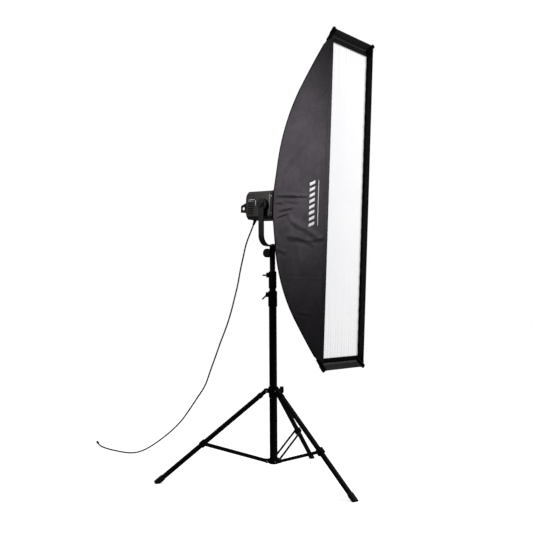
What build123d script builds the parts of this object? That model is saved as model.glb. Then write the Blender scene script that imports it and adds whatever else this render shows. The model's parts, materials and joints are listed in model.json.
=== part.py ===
"""Strip softbox on a lamp head, its yoke and a three-legged lighting stand.

Frame: millimetres, +Z up, the floor at Z = 0, the stand's column on the Z axis.
The softbox faces -Y. Lamp and softbox are modelled level about the tilt axis,
in a local frame whose forward direction is -Y, and are then aimed slightly down.
"""

import os
from math import asin, atan2, cos, degrees, hypot, radians, sin, sqrt, tan

from build123d import *

# ---------------------------------------------------------------- overall
TILT_AXIS_HEIGHT = 1231.0     # the lamp's tilt axis above the floor
NOSE_DOWN = 2.9               # how far the lamp is aimed down, degrees
SLIDE_GAP = 0.3               # radial room between sliding or turning faces
FIT_GAP = 0.08                # radial room between a pin and its hole
SEAT_GAP = 0.05               # room between fixed round faces

# ---------------------------------------------------------------- stand column
BASE_TUBE_R = 17.5
MIDDLE_TUBE_R = 15.0
TOP_TUBE_R = 12.5
TUBE_WALL = 1.4
BASE_TUBE_BOTTOM = 72.0
LOWER_CLAMP_BOTTOM = 772.0
LOWER_CLAMP_TOP = 843.0
CLAMP_GAP = 12.5              # middle tube showing between the two clamps
UPPER_CLAMP_LENGTH = 76.0
TOP_TUBE_SHOWING = 58.0       # top tube showing above the upper clamp
CLAMP_WALL = 3.0
CLAMP_GRIP = 30.0             # length of a clamp that is fixed on its own tube
TUBE_OVERLAP = 640.0          # how far each inner tube reaches down into the outer one
SPIGOT_R = 7.94               # five-eighths inch stud
SPIGOT_LENGTH = 46.0
SPIGOT_GROOVE = 1.2

# clamp ears, screw and lever
EAR_WIDTH = 16.0
EAR_REACH = 11.0
EAR_HEIGHT = 22.0
CLAMP_SPLIT = 1.6
SCREW_R = 3.0
LEVER_THICKNESS = 5.0
LEVER_WIDTH = 7.0
LEVER_HUB_R = 6.5
LOWER_LEVER_LENGTH = 27.0
UPPER_LEVER_LENGTH = 19.0
LOWER_LEVER_DROP = 45.0       # lever angle below the horizontal at rest, degrees
EAR_AZIMUTH = 130.0

# ---------------------------------------------------------------- stand legs
LEG_AZIMUTHS = (137.4, 257.4, 17.4)
PIVOT_R = 33.0                # radius of the leg and brace pivots
COLLAR_PIVOT_Z = 395.0
HUB_PIVOT_Z = 83.0
FOOT_R = 524.0                # where a leg's axis meets the floor
LEG_TUBE_R = 11.0
LEG_TUBE_WALL = 1.2
LEG_TUBE_START = 26.0         # from the pivot along the leg
FOOT_LENGTH = 42.0
FOOT_WALL = 2.2
BRACE_AT = 363.0              # brace pivot along the leg
BRACE_WIDTH = 12.0
BRACE_THICKNESS = 2.4
CLIP_HALF = 13.6
CLIP_LENGTH = 26.0
BRACE_GAP = 0.4
FOLDED_ANGLE = 4.0            # leg angle from the column when the stand is folded
PIN_R = 2.5
TONGUE_THICKNESS = 16.0
TONGUE_HALF = 8.5
EAR_PLATE = 5.0
COLLAR_RING_R = 22.4
COLLAR_BELOW = 12.0
COLLAR_ABOVE = 17.0
COLLAR_SLEEVE_DROP = 30.0
HUB_RING_R = 24.0
HUB_HALF_HEIGHT = 10.0
ARM_REACH = 10.0              # arm past the pivot
KNOB_AZIMUTH = 317.4
COLLAR_KNOB_R = 15.0
COLLAR_KNOB_DEPTH = 15.0
COLLAR_KNOB_FACE = 46.0       # outer face of the knob from the column axis

# ---------------------------------------------------------------- yoke
YOKE_BAR = 4.0
YOKE_WIDTH = 30.0
YOKE_DROP = 183.0             # middle of the cross bar below the tilt axis
YOKE_BEND = 45.0
YOKE_ARM_TOP = 20.0
ADAPTER_R = 13.0
ADAPTER_HEAD_GAP = 6.0        # solid stock above the spigot bore
KNOB_SCREW_R = 4.0
ADAPTER_KNOB_R = 20.0
ADAPTER_KNOB_DEPTH = 15.0
ADAPTER_KNOB_START = 30.0
ADAPTER_KNOB_HEIGHT = 24.0    # screw height above the adapter's lower end
TILT_KNOB_R = 23.0
TILT_KNOB_DEPTH = 20.0
PIVOT_BOLT_R = 5.0
DISC_ROOM = 16.0              # from the lamp's side to the yoke's arm
PIVOT_HEAD_R = 11.0

# ---------------------------------------------------------------- lamp head
LAMP_HALF_WIDTH = 60.0
LAMP_HALF_HEIGHT = 64.0
LAMP_CHAMFER = 13.0
LAMP_WALL = 2.6
HOUSING_FRONT = 38.0          # forward of the tilt axis
HOUSING_REAR = -101.0
REAR_FACE = -115.0
REAR_FACE_TOP = 46.0
REAR_FACE_BOTTOM = -37.0
REAR_FACE_HALF = 51.0
BEZEL_FRONT = 51.0
BEZEL_GROOVE_R = 46.6
MOUNT_THROAT_R = 42.6
DISC_R = 28.0
LATCH_U = 44.0
LATCH_V = -14.0
LATCH_PEG = 4.0
LATCH_TRAVEL = 5.0            # the catch slides down by this
VENT_COUNT = 7
VENT_PITCH = 8.0
VENT_HEIGHT = 3.4
VENT_LENGTH = 34.0
GRIP_HALF = 46.0
GRIP_PLATE = 4.0
GRIP_END = -149.0
GRIP_TOP = 15.0
GRIP_CORNER = 1.0
GRIP_BOTTOM = -31.0
GRIP_WINDOW = 13.0
GRIP_WINDOW_U = -133.5
GRIP_WINDOW_V = -12.5
GRIP_BAR_R = 4.5
COVER_SCREW_R = 2.8
COVER_SCREW_ROOM = 2.2        # between a cover screw's head and the grip
HEATSINK_HALF = 41.0
HEATSINK_REAR = -48.0
HEATSINK_FRONT = 12.0
FIN_COUNT = 11
FIN_THICKNESS = 1.6
FIN_BASE = 7.0
FAN_HALF = 42.0
FAN_REAR = -78.0
FAN_DEPTH = 20.0
FAN_HUB_R = 15.0
FAN_R = 37.0
FAN_BLADES = 7
LED_HALF = 24.0
LED_CHIP_R = 13.0
DOME_R = 31.0
DOME_WALL = 2.0
GLAND_X = -20.0
GLAND_U = -84.0
GLAND_R = 6.5
GLAND_LENGTH = 20.0
GLAND_TIP = 7.0               # how much of the cord's first run is inside the gland

# ---------------------------------------------------------------- softbox
FRONT_HALF_WIDTH = 150.0
FRONT_HALF_HEIGHT = 700.0
FRONT_U = 420.0               # front edge forward of the tilt axis
REAR_U = 58.0                 # rear edge of the fabric
REAR_HALF_WIDTH = 60.0
REAR_HALF_HEIGHT = 62.0
FABRIC = 1.4
ROD_R = 2.5
ROD_INSET = 8.0               # rod axis inside both fabric faces
SOCKET_ANGLE = 10.5           # rod from the vertical where it leaves the ring
ROD_STRAIGHT = 130.0
ROD_BEND_R = 640.0
ROD_BEND = 31.0
SOCKET_DEPTH = 34.0
SOCKET_R = 6.2
RING_R = 57.0
RING_BORE_R = 44.0
RING_REAR = 54.0
RING_FRONT = 66.0
INSERT_BORE_R = 38.0
DIFFUSER_RECESS = 32.0
BAFFLE_U = 215.0
SHEET = 1.2                   # diffuser and baffle cloth
SHEET_ROOM = 3.0              # cloth edge from the fabric walls
CAP_LENGTH = 46.0
CAP_WALL = 1.6
RING_KNOB_R = 9.0

# ---------------------------------------------------------------- cord
CORD_R = 3.5
PLUG_R = 6.0
PLUG_LENGTH = 44.0
ROUTE_AXIS_HEIGHT = 1231.0    # tilt axis height that the route's first point is laid for
# hand-laid route: out of the gland, down behind the lamp, then along the floor
CORD_ROUTE = [
    (-20.0, 92.0, 1156.0),
    (-20.0, 112.0, 1119.0),
    (-19.0, 143.0, 1064.0),
    (-18.0, 160.5, 1006.0),
    (-16.5, 181.0, 945.0),
    (-15.0, 197.0, 880.0),
    (-14.0, 221.0, 811.0),
    (-12.5, 246.0, 742.0),
    (-11.0, 277.0, 674.0),
    (-9.5, 315.0, 606.0),
    (-8.0, 349.5, 536.0),
    (-6.5, 388.0, 462.0),
    (-4.5, 422.0, 390.0),
    (-3.0, 478.0, 330.0),
    (-2.0, 530.0, 271.0),
    (-1.0, 589.0, 209.0),
    (0.0, 655.0, 157.0),
    (1.5, 724.0, 112.0),
    (1.0, 796.0, 69.0),
    (-1.0, 869.0, 31.5),
    (-3.0, 943.0, 9.0),
    (-3.5, 1016.0, 3.7),
    (-1.0, 1088.0, 3.7),
    (6.0, 1158.0, 3.7),
    (21.0, 1226.0, 3.7),
    (47.0, 1292.0, 3.7),
    (82.0, 1352.0, 3.7),
]

# ---------------------------------------------------------------- derived
LEG_ANGLE = degrees(atan2(FOOT_R - PIVOT_R, COLLAR_PIVOT_Z))
BRACE_END_R = PIVOT_R + BRACE_AT * sin(radians(LEG_ANGLE))
BRACE_END_Z = COLLAR_PIVOT_Z - BRACE_AT * cos(radians(LEG_ANGLE))
BRACE_LENGTH = hypot(BRACE_END_R - PIVOT_R, BRACE_END_Z - HUB_PIVOT_Z)
BRACE_ANGLE = degrees(atan2(BRACE_END_R - PIVOT_R, BRACE_END_Z - HUB_PIVOT_Z))
FOLDED_BRACE = degrees(asin(BRACE_AT * sin(radians(FOLDED_ANGLE)) / BRACE_LENGTH))
FOLD_TRAVEL = (
    BRACE_AT * cos(radians(FOLDED_ANGLE))
    + BRACE_LENGTH * cos(radians(FOLDED_BRACE))
    - (COLLAR_PIVOT_Z - HUB_PIVOT_Z)
)
UPPER_CLAMP_BOTTOM = LOWER_CLAMP_TOP + CLAMP_GAP
UPPER_CLAMP_TOP = UPPER_CLAMP_BOTTOM + UPPER_CLAMP_LENGTH
TOP_TUBE_TOP = UPPER_CLAMP_TOP + TOP_TUBE_SHOWING
LOWER_CLAMP_R = BASE_TUBE_R + CLAMP_WALL
UPPER_CLAMP_R = MIDDLE_TUBE_R + CLAMP_WALL
ADAPTER_BOTTOM = TOP_TUBE_TOP + 2 * SLIDE_GAP
YOKE_HALF = LAMP_HALF_WIDTH + DISC_ROOM + YOKE_BAR / 2
YOKE_BAR_Z = TILT_AXIS_HEIGHT - YOKE_DROP
ADAPTER_TOP = YOKE_BAR_Z - YOKE_BAR / 2
STRIP_INNER = CLIP_HALF + BRACE_GAP
SIDE_SLANT = degrees(atan2(FRONT_HALF_WIDTH - REAR_HALF_WIDTH, FRONT_U - REAR_U))
AIM = Pos(0, 0, TILT_AXIS_HEIGHT) * Rot(NOSE_DOWN, 0, 0)


def forward(x, u, v):
    """A point of the lamp's local frame: x across, u forward, v up."""
    return Vector(x, -u, v)


def tube(radius, wall, low, high):
    """A round tube standing on the Z axis."""
    shape = Pos(0, 0, (low + high) / 2) * Cylinder(radius, high - low)
    return shape - Pos(0, 0, (low + high) / 2) * Cylinder(radius - wall, high - low)


def rod_between(start, end, radius):
    """A round bar from one point to another."""
    start, end = Vector(*start), Vector(*end)
    along = end - start
    plane = Plane(origin=start, z_dir=along.normalized())
    return extrude(plane * Circle(radius), along.length)


def disc(centre_x, u, v, radius, depth):
    """A disc in the lamp's frame whose axis runs across, from centre_x towards +X by depth."""
    return rod_between(forward(centre_x, u, v), forward(centre_x + depth, u, v), radius)


def drum(radius, u_low, u_high, x=0.0, v=0.0):
    """A disc or drum in the lamp's frame whose axis runs forward."""
    return rod_between(forward(x, u_low, v), forward(x, u_high, v), radius)


def lobed_knob(radius, depth, lobes=8, flute=0.16):
    """A fluted knob from Z = 0 to Z = depth, with a softened outer rim."""
    shape = Pos(0, 0, depth / 2) * Cylinder(radius, depth)
    shape = fillet(shape.edges().group_by(Axis.Z)[-1], depth * 0.16)
    cutter = Cylinder(radius * flute, depth * 3)
    for n in range(lobes):
        shape -= Rot(0, 0, n * 360 / lobes) * Pos(radius * 1.06, 0, 0) * cutter
    return shape


# ================================================================ stand column
def base_tube():
    """Lower column tube, which the legs' collar slides on."""
    return tube(BASE_TUBE_R, TUBE_WALL, BASE_TUBE_BOTTOM, LOWER_CLAMP_BOTTOM + CLAMP_GRIP)


def middle_tube():
    """Middle column tube, sliding in the lower one."""
    low = UPPER_CLAMP_BOTTOM - TUBE_OVERLAP
    return tube(MIDDLE_TUBE_R, TUBE_WALL, low, UPPER_CLAMP_BOTTOM + CLAMP_GRIP)


def top_tube():
    """Top column tube, sliding in the middle one."""
    return tube(TOP_TUBE_R, TUBE_WALL, TOP_TUBE_TOP - TUBE_OVERLAP, TOP_TUBE_TOP)


def ear_place(column_r, height):
    """Screw axis of a clamp: turns +X outward to the ears and +Z along the screw."""
    reach = column_r + EAR_REACH * 0.5
    return Rot(0, 0, EAR_AZIMUTH) * Pos(reach, 0, height) * Rot(90, 0, 0)


def clamp(outer_r, fixed_r, sliding_r, low, high):
    """A split clamp fixed on one tube, with ears that squeeze it on the next one."""
    grip = low + CLAMP_GRIP
    body = Pos(0, 0, (low + high) / 2) * Cylinder(outer_r, high - low)
    body = chamfer(body.edges().filter_by(GeomType.CIRCLE), 2.0)
    ear_z = high - EAR_HEIGHT / 2 - 5
    ear = Box(outer_r + EAR_REACH, EAR_WIDTH, EAR_HEIGHT)
    body += Rot(0, 0, EAR_AZIMUTH) * Pos((outer_r + EAR_REACH) / 2, 0, ear_z) * ear
    body -= Pos(0, 0, (low + grip) / 2) * Cylinder(fixed_r + SEAT_GAP, grip - low)
    body -= Pos(0, 0, (grip + high) / 2) * Cylinder(sliding_r + SLIDE_GAP, high - grip)
    slit = Box(outer_r + 2 * EAR_REACH, CLAMP_SPLIT, high - grip - 4)
    body -= Rot(0, 0, EAR_AZIMUTH) * Pos((outer_r + 2 * EAR_REACH) / 2, 0, (grip + high) / 2 + 2) * slit
    screw = ear_place(outer_r, ear_z) * Cylinder(SCREW_R + FIT_GAP, 2 * EAR_WIDTH)
    return body - screw


def clamp_lever(outer_r, high, length, drop):
    """Clamp screw with its single wing lever; drop is the lever's angle below level."""
    ear_z = high - EAR_HEIGHT / 2 - 5
    half = EAR_WIDTH / 2 + SLIDE_GAP
    lever = Pos(0, 0, half + LEVER_THICKNESS / 2) * Cylinder(LEVER_HUB_R, LEVER_THICKNESS)
    arm = Pos(length / 2, 0, 0) * Box(length, LEVER_WIDTH, LEVER_THICKNESS)
    arm += Pos(length, 0, 0) * Cylinder(LEVER_WIDTH / 2, LEVER_THICKNESS)
    lever += Pos(0, 0, half + LEVER_THICKNESS / 2) * Rot(0, 0, drop) * arm
    shank = Pos(0, 0, (half - half - 8) / 2) * Cylinder(SCREW_R, 2 * half + 8)
    nut = Pos(0, 0, -half - 3) * extrude(RegularPolygon(5.6, 6), 5, both=False)
    nut = Pos(0, 0, -5) * nut
    return ear_place(outer_r, ear_z) * (lever + shank + nut)


def spigot():
    """Stud on top of the column, with its grooved neck and a plug inside the top tube."""
    plug_r = TOP_TUBE_R - TUBE_WALL - SEAT_GAP
    shape = Pos(0, 0, TOP_TUBE_TOP - 15) * Cylinder(plug_r, 30)
    stud = Pos(0, 0, TOP_TUBE_TOP + SPIGOT_LENGTH / 2) * Cylinder(SPIGOT_R, SPIGOT_LENGTH)
    stud = chamfer(stud.edges().group_by(Axis.Z)[-1], 1.5)
    groove_z = ADAPTER_BOTTOM + ADAPTER_KNOB_HEIGHT
    ring = Pos(0, 0, groove_z) * (Cylinder(SPIGOT_R + 1, 10) - Cylinder(SPIGOT_R - SPIGOT_GROOVE, 10))
    return shape + (stud - ring)


# ================================================================ legs
def around(shape, azimuth):
    """Turns a leg part, made in the XZ plane, to its azimuth."""
    return Rot(0, 0, azimuth) * shape


def cross_pin(radius, z, half, pin_r=PIN_R, head=True):
    """A riveted pin across a leg, centred on the leg's plane."""
    place = Pos(radius, 0, z) * Rot(90, 0, 0)
    pin = place * Cylinder(pin_r, 2 * half)
    if head:
        for side in (-1, 1):
            pin += Pos(radius, side * (half + 0.7), z) * Rot(90, 0, 0) * Cylinder(pin_r * 1.7, 1.4)
    return pin


def leg_collar():
    """Sliding collar with three pairs of ears for the legs and a sleeve below."""
    low, high = COLLAR_PIVOT_Z - COLLAR_BELOW, COLLAR_PIVOT_Z + COLLAR_ABOVE
    sleeve_low = COLLAR_PIVOT_Z - COLLAR_SLEEVE_DROP
    body = Pos(0, 0, (low + high) / 2) * Cylinder(COLLAR_RING_R, high - low)
    body += Pos(0, 0, (sleeve_low + low) / 2) * Cylinder(COLLAR_RING_R - 2, low - sleeve_low)
    ear_mid = TONGUE_THICKNESS / 2 + BRACE_GAP + EAR_PLATE / 2
    for azimuth in LEG_AZIMUTHS:
        for side in (-1, 1):
            plate = Pos(PIVOT_R / 2 + 6, side * ear_mid, COLLAR_PIVOT_Z) * Box(PIVOT_R - 12, EAR_PLATE, 19)
            plate += Pos(PIVOT_R, side * ear_mid, COLLAR_PIVOT_Z) * Rot(90, 0, 0) * Cylinder(9.5, EAR_PLATE)
            body += around(plate, azimuth)
        body -= around(cross_pin(PIVOT_R, COLLAR_PIVOT_Z, 30, PIN_R + SEAT_GAP, False), azimuth)
    boss = Rot(0, 0, KNOB_AZIMUTH) * rod_between((BASE_TUBE_R + 1, 0, 0), (COLLAR_RING_R + 4, 0, 0), 8)
    body += Pos(0, 0, COLLAR_PIVOT_Z + 3) * boss
    body -= Pos(0, 0, (sleeve_low + high) / 2) * Cylinder(BASE_TUBE_R + SLIDE_GAP, high - sleeve_low)
    hole = Rot(0, 0, KNOB_AZIMUTH) * rod_between((0, 0, 0), (60, 0, 0), SCREW_R + FIT_GAP)
    return body - Pos(0, 0, COLLAR_PIVOT_Z + 3) * hole


def leg_pins():
    """Three rivets that the legs swing on."""
    half = TONGUE_THICKNESS / 2 + BRACE_GAP + EAR_PLATE
    return [around(cross_pin(PIVOT_R, COLLAR_PIVOT_Z, half), a) for a in LEG_AZIMUTHS]


def collar_knob():
    """Knob that locks the collar on the column."""
    face = COLLAR_KNOB_FACE - COLLAR_KNOB_DEPTH
    knob = Pos(face, 0, 0) * Rot(0, 90, 0) * lobed_knob(COLLAR_KNOB_R, COLLAR_KNOB_DEPTH, 6)
    knob += rod_between((BASE_TUBE_R + SLIDE_GAP, 0, 0), (face + 2, 0, 0), SCREW_R)
    return Rot(0, 0, KNOB_AZIMUTH) * Pos(0, 0, COLLAR_PIVOT_Z + 3) * knob


def leg_place(azimuth):
    """Frame of an open leg: origin at its pivot, +Z down along the leg, +X outward."""
    return Rot(0, 0, azimuth) * Pos(PIVOT_R, 0, COLLAR_PIVOT_Z) * Rot(0, 180 - LEG_ANGLE, 0)


def leg_tube(azimuth):
    """A leg: hollow tube with a solid tongue at its upper end."""
    length = COLLAR_PIVOT_Z / cos(radians(LEG_ANGLE))
    end = length - FOOT_LENGTH / 2
    pipe = tube(LEG_TUBE_R, LEG_TUBE_WALL, LEG_TUBE_START, end)
    clip_hole = Pos(0, 0, BRACE_AT) * Rot(90, 0, 0) * Cylinder(PIN_R + SEAT_GAP, 4 * LEG_TUBE_R)
    pipe -= clip_hole
    tongue = Rot(90, 0, 0) * Cylinder(TONGUE_HALF, TONGUE_THICKNESS)
    tongue += Pos(0, 0, LEG_TUBE_START / 2) * Box(2 * TONGUE_HALF, TONGUE_THICKNESS, LEG_TUBE_START)
    plug_r = LEG_TUBE_R - LEG_TUBE_WALL - SEAT_GAP
    tongue += Pos(0, 0, LEG_TUBE_START + 12) * Cylinder(plug_r, 24)
    tongue -= Rot(90, 0, 0) * Cylinder(PIN_R + FIT_GAP, 2 * TONGUE_THICKNESS)
    return [leg_place(azimuth) * pipe, leg_place(azimuth) * tongue]


def leg_foot(azimuth):
    """Rubber foot: a cap over the leg's end, cut flat where it stands."""
    length = COLLAR_PIVOT_Z / cos(radians(LEG_ANGLE))
    start = length - FOOT_LENGTH
    outer = LEG_TUBE_R + FOOT_WALL
    cap = Pos(0, 0, start + FOOT_LENGTH / 2) * Cylinder(outer, FOOT_LENGTH)
    cap = chamfer(cap.edges().group_by(Axis.Z)[0], 1.2)
    cap -= Pos(0, 0, start + FOOT_LENGTH / 4) * Cylinder(LEG_TUBE_R + SEAT_GAP, FOOT_LENGTH / 2)
    cap -= Pos(0, 0, start) * Cylinder(LEG_TUBE_R + SEAT_GAP, FOOT_LENGTH / 2)
    placed = leg_place(azimuth) * cap
    return placed - Pos(0, 0, -100) * Box(4 * FOOT_R, 4 * FOOT_R, 200)


def brace_clip(azimuth):
    """Clip round a leg, with the rivet stub that the brace swings on."""
    clip = Pos(0, 0, BRACE_AT) * Box(LEG_TUBE_R * 2 + 5, 2 * CLIP_HALF, CLIP_LENGTH)
    clip = fillet(clip.edges().filter_by(Axis.Z), 4)
    clip -= Pos(0, 0, BRACE_AT) * Cylinder(LEG_TUBE_R + SEAT_GAP, 2 * CLIP_LENGTH)
    return leg_place(azimuth) * clip


def clip_pin(azimuth):
    """Pin through a leg and its clip; it stops level with the clip's faces."""
    pin = Pos(0, 0, BRACE_AT) * Rot(90, 0, 0) * Cylinder(PIN_R, 2 * CLIP_HALF - 2 * SEAT_GAP)
    return leg_place(azimuth) * pin


def brace(azimuth):
    """A pair of flat bars from the hub to the leg's clip, one each side, riveted at the ends."""
    bars = []
    for side in (-1, 1):
        bar = Pos(0, 0, BRACE_LENGTH / 2) * Box(BRACE_WIDTH, BRACE_THICKNESS, BRACE_LENGTH)
        for end in (0, BRACE_LENGTH):
            bar += Pos(0, 0, end) * Rot(90, 0, 0) * Cylinder(BRACE_WIDTH / 2, BRACE_THICKNESS)
        bar -= Rot(90, 0, 0) * Cylinder(PIN_R + FIT_GAP, 4 * BRACE_THICKNESS)
        head = Pos(0, side * (BRACE_THICKNESS / 2 + 0.6), BRACE_LENGTH)
        bar += head * Rot(90, 0, 0) * Cylinder(PIN_R * 1.6, 1.2)
        bars.append(Pos(0, side * (STRIP_INNER + BRACE_THICKNESS / 2), 0) * bar)
    place = Rot(0, 0, azimuth) * Pos(PIVOT_R, 0, HUB_PIVOT_Z) * Rot(0, BRACE_ANGLE, 0)
    return [place * bar for bar in bars]


def base_hub():
    """Casting at the column's foot with three arms for the braces."""
    body = Pos(0, 0, HUB_PIVOT_Z - 1) * Cylinder(HUB_RING_R, 2 * HUB_HALF_HEIGHT)
    body = chamfer(body.edges().filter_by(GeomType.CIRCLE), 1.5)
    for azimuth in LEG_AZIMUTHS:
        arm = Pos(PIVOT_R / 2, 0, HUB_PIVOT_Z) * Box(PIVOT_R, 2 * CLIP_HALF, 16)
        arm += Pos(PIVOT_R, 0, HUB_PIVOT_Z) * Rot(90, 0, 0) * Cylinder(8, 2 * CLIP_HALF)
        body += around(arm, azimuth)
        body -= around(cross_pin(PIVOT_R, HUB_PIVOT_Z, 30, PIN_R + SEAT_GAP, False), azimuth)
    floor_z = HUB_PIVOT_Z - 1 - HUB_HALF_HEIGHT
    body += Pos(0, 0, floor_z - 1.5) * Cylinder(BASE_TUBE_R + 1, 3)
    socket = Pos(0, 0, BASE_TUBE_BOTTOM + HUB_HALF_HEIGHT * 2) * Cylinder(
        BASE_TUBE_R + SEAT_GAP, HUB_HALF_HEIGHT * 4
    )
    return body - socket


def brace_pins():
    """Three rivets that the braces swing on."""
    half = STRIP_INNER + BRACE_THICKNESS + 0.3
    return [around(cross_pin(PIVOT_R, HUB_PIVOT_Z, half), a) for a in LEG_AZIMUTHS]


# ================================================================ yoke
def yoke():
    """U-shaped yoke bent from flat bar."""
    def outline(half, drop, bend):
        top = YOKE_ARM_TOP
        shape = Pos(0, (top - drop) / 2) * Rectangle(2 * half, top + drop)
        return fillet(shape.vertices().group_by(Axis.Y)[0], bend)

    outer = outline(YOKE_HALF + YOKE_BAR / 2, YOKE_DROP + YOKE_BAR / 2, YOKE_BEND + YOKE_BAR / 2)
    inner = outline(YOKE_HALF - YOKE_BAR / 2, YOKE_DROP - YOKE_BAR / 2, YOKE_BEND - YOKE_BAR / 2)
    bar = extrude(Plane.XZ * (outer - inner), YOKE_WIDTH / 2, both=True)
    for side in (-1, 1):
        corner = bar.edges().filter_by(Axis.X).filter_by(
            lambda e: e.center().Z > YOKE_ARM_TOP - 1 and e.center().X * side > 0
        )
        bar = fillet(corner, YOKE_WIDTH / 2 - 0.5)
    bar = Pos(0, 0, TILT_AXIS_HEIGHT) * bar
    bar -= Pos(0, 0, TILT_AXIS_HEIGHT) * Rot(0, 90, 0) * Cylinder(PIVOT_BOLT_R + FIT_GAP, 400)
    return bar - Pos(0, 0, YOKE_BAR_Z) * Cylinder(KNOB_SCREW_R + SEAT_GAP, 30)


def yoke_bolt():
    """Domed bolt that holds the yoke on its adapter."""
    head = Pos(0, 0, YOKE_BAR_Z + YOKE_BAR / 2) * (
        Sphere(12) & Pos(0, 0, 4) * Box(30, 30, 8)
    )
    head &= Pos(0, 0, YOKE_BAR_Z + YOKE_BAR / 2 + 3.5) * Box(30, 30, 7)
    shank_low = ADAPTER_TOP - ADAPTER_HEAD_GAP + 1
    shank = Pos(0, 0, (shank_low + YOKE_BAR_Z + 3) / 2) * Cylinder(
        KNOB_SCREW_R, YOKE_BAR_Z + 3 - shank_low
    )
    return head + shank


def adapter():
    """Receiver that drops over the column's stud and carries the yoke."""
    middle = (ADAPTER_BOTTOM + ADAPTER_TOP) / 2
    body = Pos(0, 0, middle) * Cylinder(ADAPTER_R, ADAPTER_TOP - ADAPTER_BOTTOM)
    body = chamfer(body.edges().group_by(Axis.Z)[0], 1.0)
    screw_z = ADAPTER_BOTTOM + ADAPTER_KNOB_HEIGHT
    body += Pos(0, 0, screw_z) * rod_between((-ADAPTER_R - 5, 0, 0), (0, 0, 0), 8.5)
    bore_top = ADAPTER_TOP - ADAPTER_HEAD_GAP
    body -= Pos(0, 0, (ADAPTER_BOTTOM + bore_top) / 2) * Cylinder(
        SPIGOT_R + FIT_GAP, bore_top - ADAPTER_BOTTOM
    )
    body -= Pos(0, 0, screw_z) * rod_between((-60, 0, 0), (0, 0, 0), KNOB_SCREW_R + FIT_GAP)
    return body - Pos(0, 0, ADAPTER_TOP) * Cylinder(KNOB_SCREW_R + SEAT_GAP, 2 * ADAPTER_HEAD_GAP)


def adapter_knob():
    """Knob that locks the adapter on the stud."""
    knob = Pos(-ADAPTER_KNOB_START, 0, 0) * Rot(0, -90, 0) * lobed_knob(ADAPTER_KNOB_R, ADAPTER_KNOB_DEPTH)
    knob += rod_between((-SPIGOT_R - SLIDE_GAP, 0, 0), (-ADAPTER_KNOB_START - 2, 0, 0), KNOB_SCREW_R)
    return Pos(0, 0, ADAPTER_BOTTOM + ADAPTER_KNOB_HEIGHT) * knob


def tilt_knob():
    """Knob on the far arm that locks the tilt."""
    start = YOKE_HALF + YOKE_BAR / 2 + SLIDE_GAP
    knob = Pos(start + 4, 0, 0) * Rot(0, 90, 0) * lobed_knob(TILT_KNOB_R, TILT_KNOB_DEPTH, 5, 0.24)
    knob += rod_between((start, 0, 0), (start + 6, 0, 0), 12)
    knob += rod_between((LAMP_HALF_WIDTH + 5, 0, 0), (start + 6, 0, 0), PIVOT_BOLT_R)
    return Pos(0, 0, TILT_AXIS_HEIGHT) * knob


def pivot_bolt():
    """Bolt through the near arm that the lamp tilts on."""
    end = YOKE_HALF + YOKE_BAR / 2 + SLIDE_GAP
    bolt = rod_between((-LAMP_HALF_WIDTH - 5, 0, 0), (-end - 4, 0, 0), PIVOT_BOLT_R)
    cap = Pos(-end, 0, 0) * Rot(0, -90, 0) * (Pos(0, 0, 3) * Cylinder(PIVOT_HEAD_R, 6))
    cap = chamfer(cap.edges().group_by(Axis.X)[0], 1.5)
    socket = Pos(-end - 5, 0, 0) * Rot(0, -90, 0) * extrude(RegularPolygon(4, 6), 4, both=True)
    return AIM * (bolt + (cap - socket))


# ================================================================ lamp
def body_section(half_width, top, bottom, chamfer_size):
    """Octagonal section of the lamp, across and up."""
    c = chamfer_size
    points = [
        (-half_width, bottom + c), (-half_width, top - c), (-half_width + c, top),
        (half_width - c, top), (half_width, top - c), (half_width, bottom + c),
        (half_width - c, bottom), (-half_width + c, bottom),
    ]
    return make_face(Polyline(*points, close=True))


def section_plane(u):
    """Plane across the lamp at u: local X across, local Y up, facing forward."""
    return Plane(origin=forward(0, u, 0), x_dir=(1, 0, 0), z_dir=(0, -1, 0))


def housing():
    """Main shell of the lamp, open at both ends, with side and top vents."""
    def prism(inset, low, high):
        face = body_section(
            LAMP_HALF_WIDTH - inset, LAMP_HALF_HEIGHT - inset, -LAMP_HALF_HEIGHT + inset,
            LAMP_CHAMFER - inset * 0.5,
        )
        return extrude(section_plane(low) * face, high - low)

    shell = prism(0, HOUSING_REAR, HOUSING_FRONT) - prism(LAMP_WALL, HOUSING_REAR - 1, HOUSING_FRONT + 1)
    vent_middle = HOUSING_REAR + VENT_LENGTH / 2 + 8
    for n in range(VENT_COUNT):
        v = (n - (VENT_COUNT - 1) / 2) * VENT_PITCH - 14
        shell -= Pos(forward(0, vent_middle, v)) * Box(3 * LAMP_HALF_WIDTH, VENT_LENGTH, VENT_HEIGHT)
        across = (n - (VENT_COUNT - 1) / 2) * VENT_PITCH
        slot = Box(VENT_HEIGHT, VENT_LENGTH, 30)
        shell -= Pos(forward(across, vent_middle + 20, LAMP_HALF_HEIGHT)) * slot
    for side in (-1, 1):
        shell -= disc(side * LAMP_HALF_WIDTH - 10, 0, 0, PIVOT_BOLT_R + SEAT_GAP, 20)
    gland_hole = Pos(forward(GLAND_X, GLAND_U, -LAMP_HALF_HEIGHT)) * Cylinder(GLAND_R - 1.5, 20)
    return AIM * (shell - gland_hole)


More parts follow.
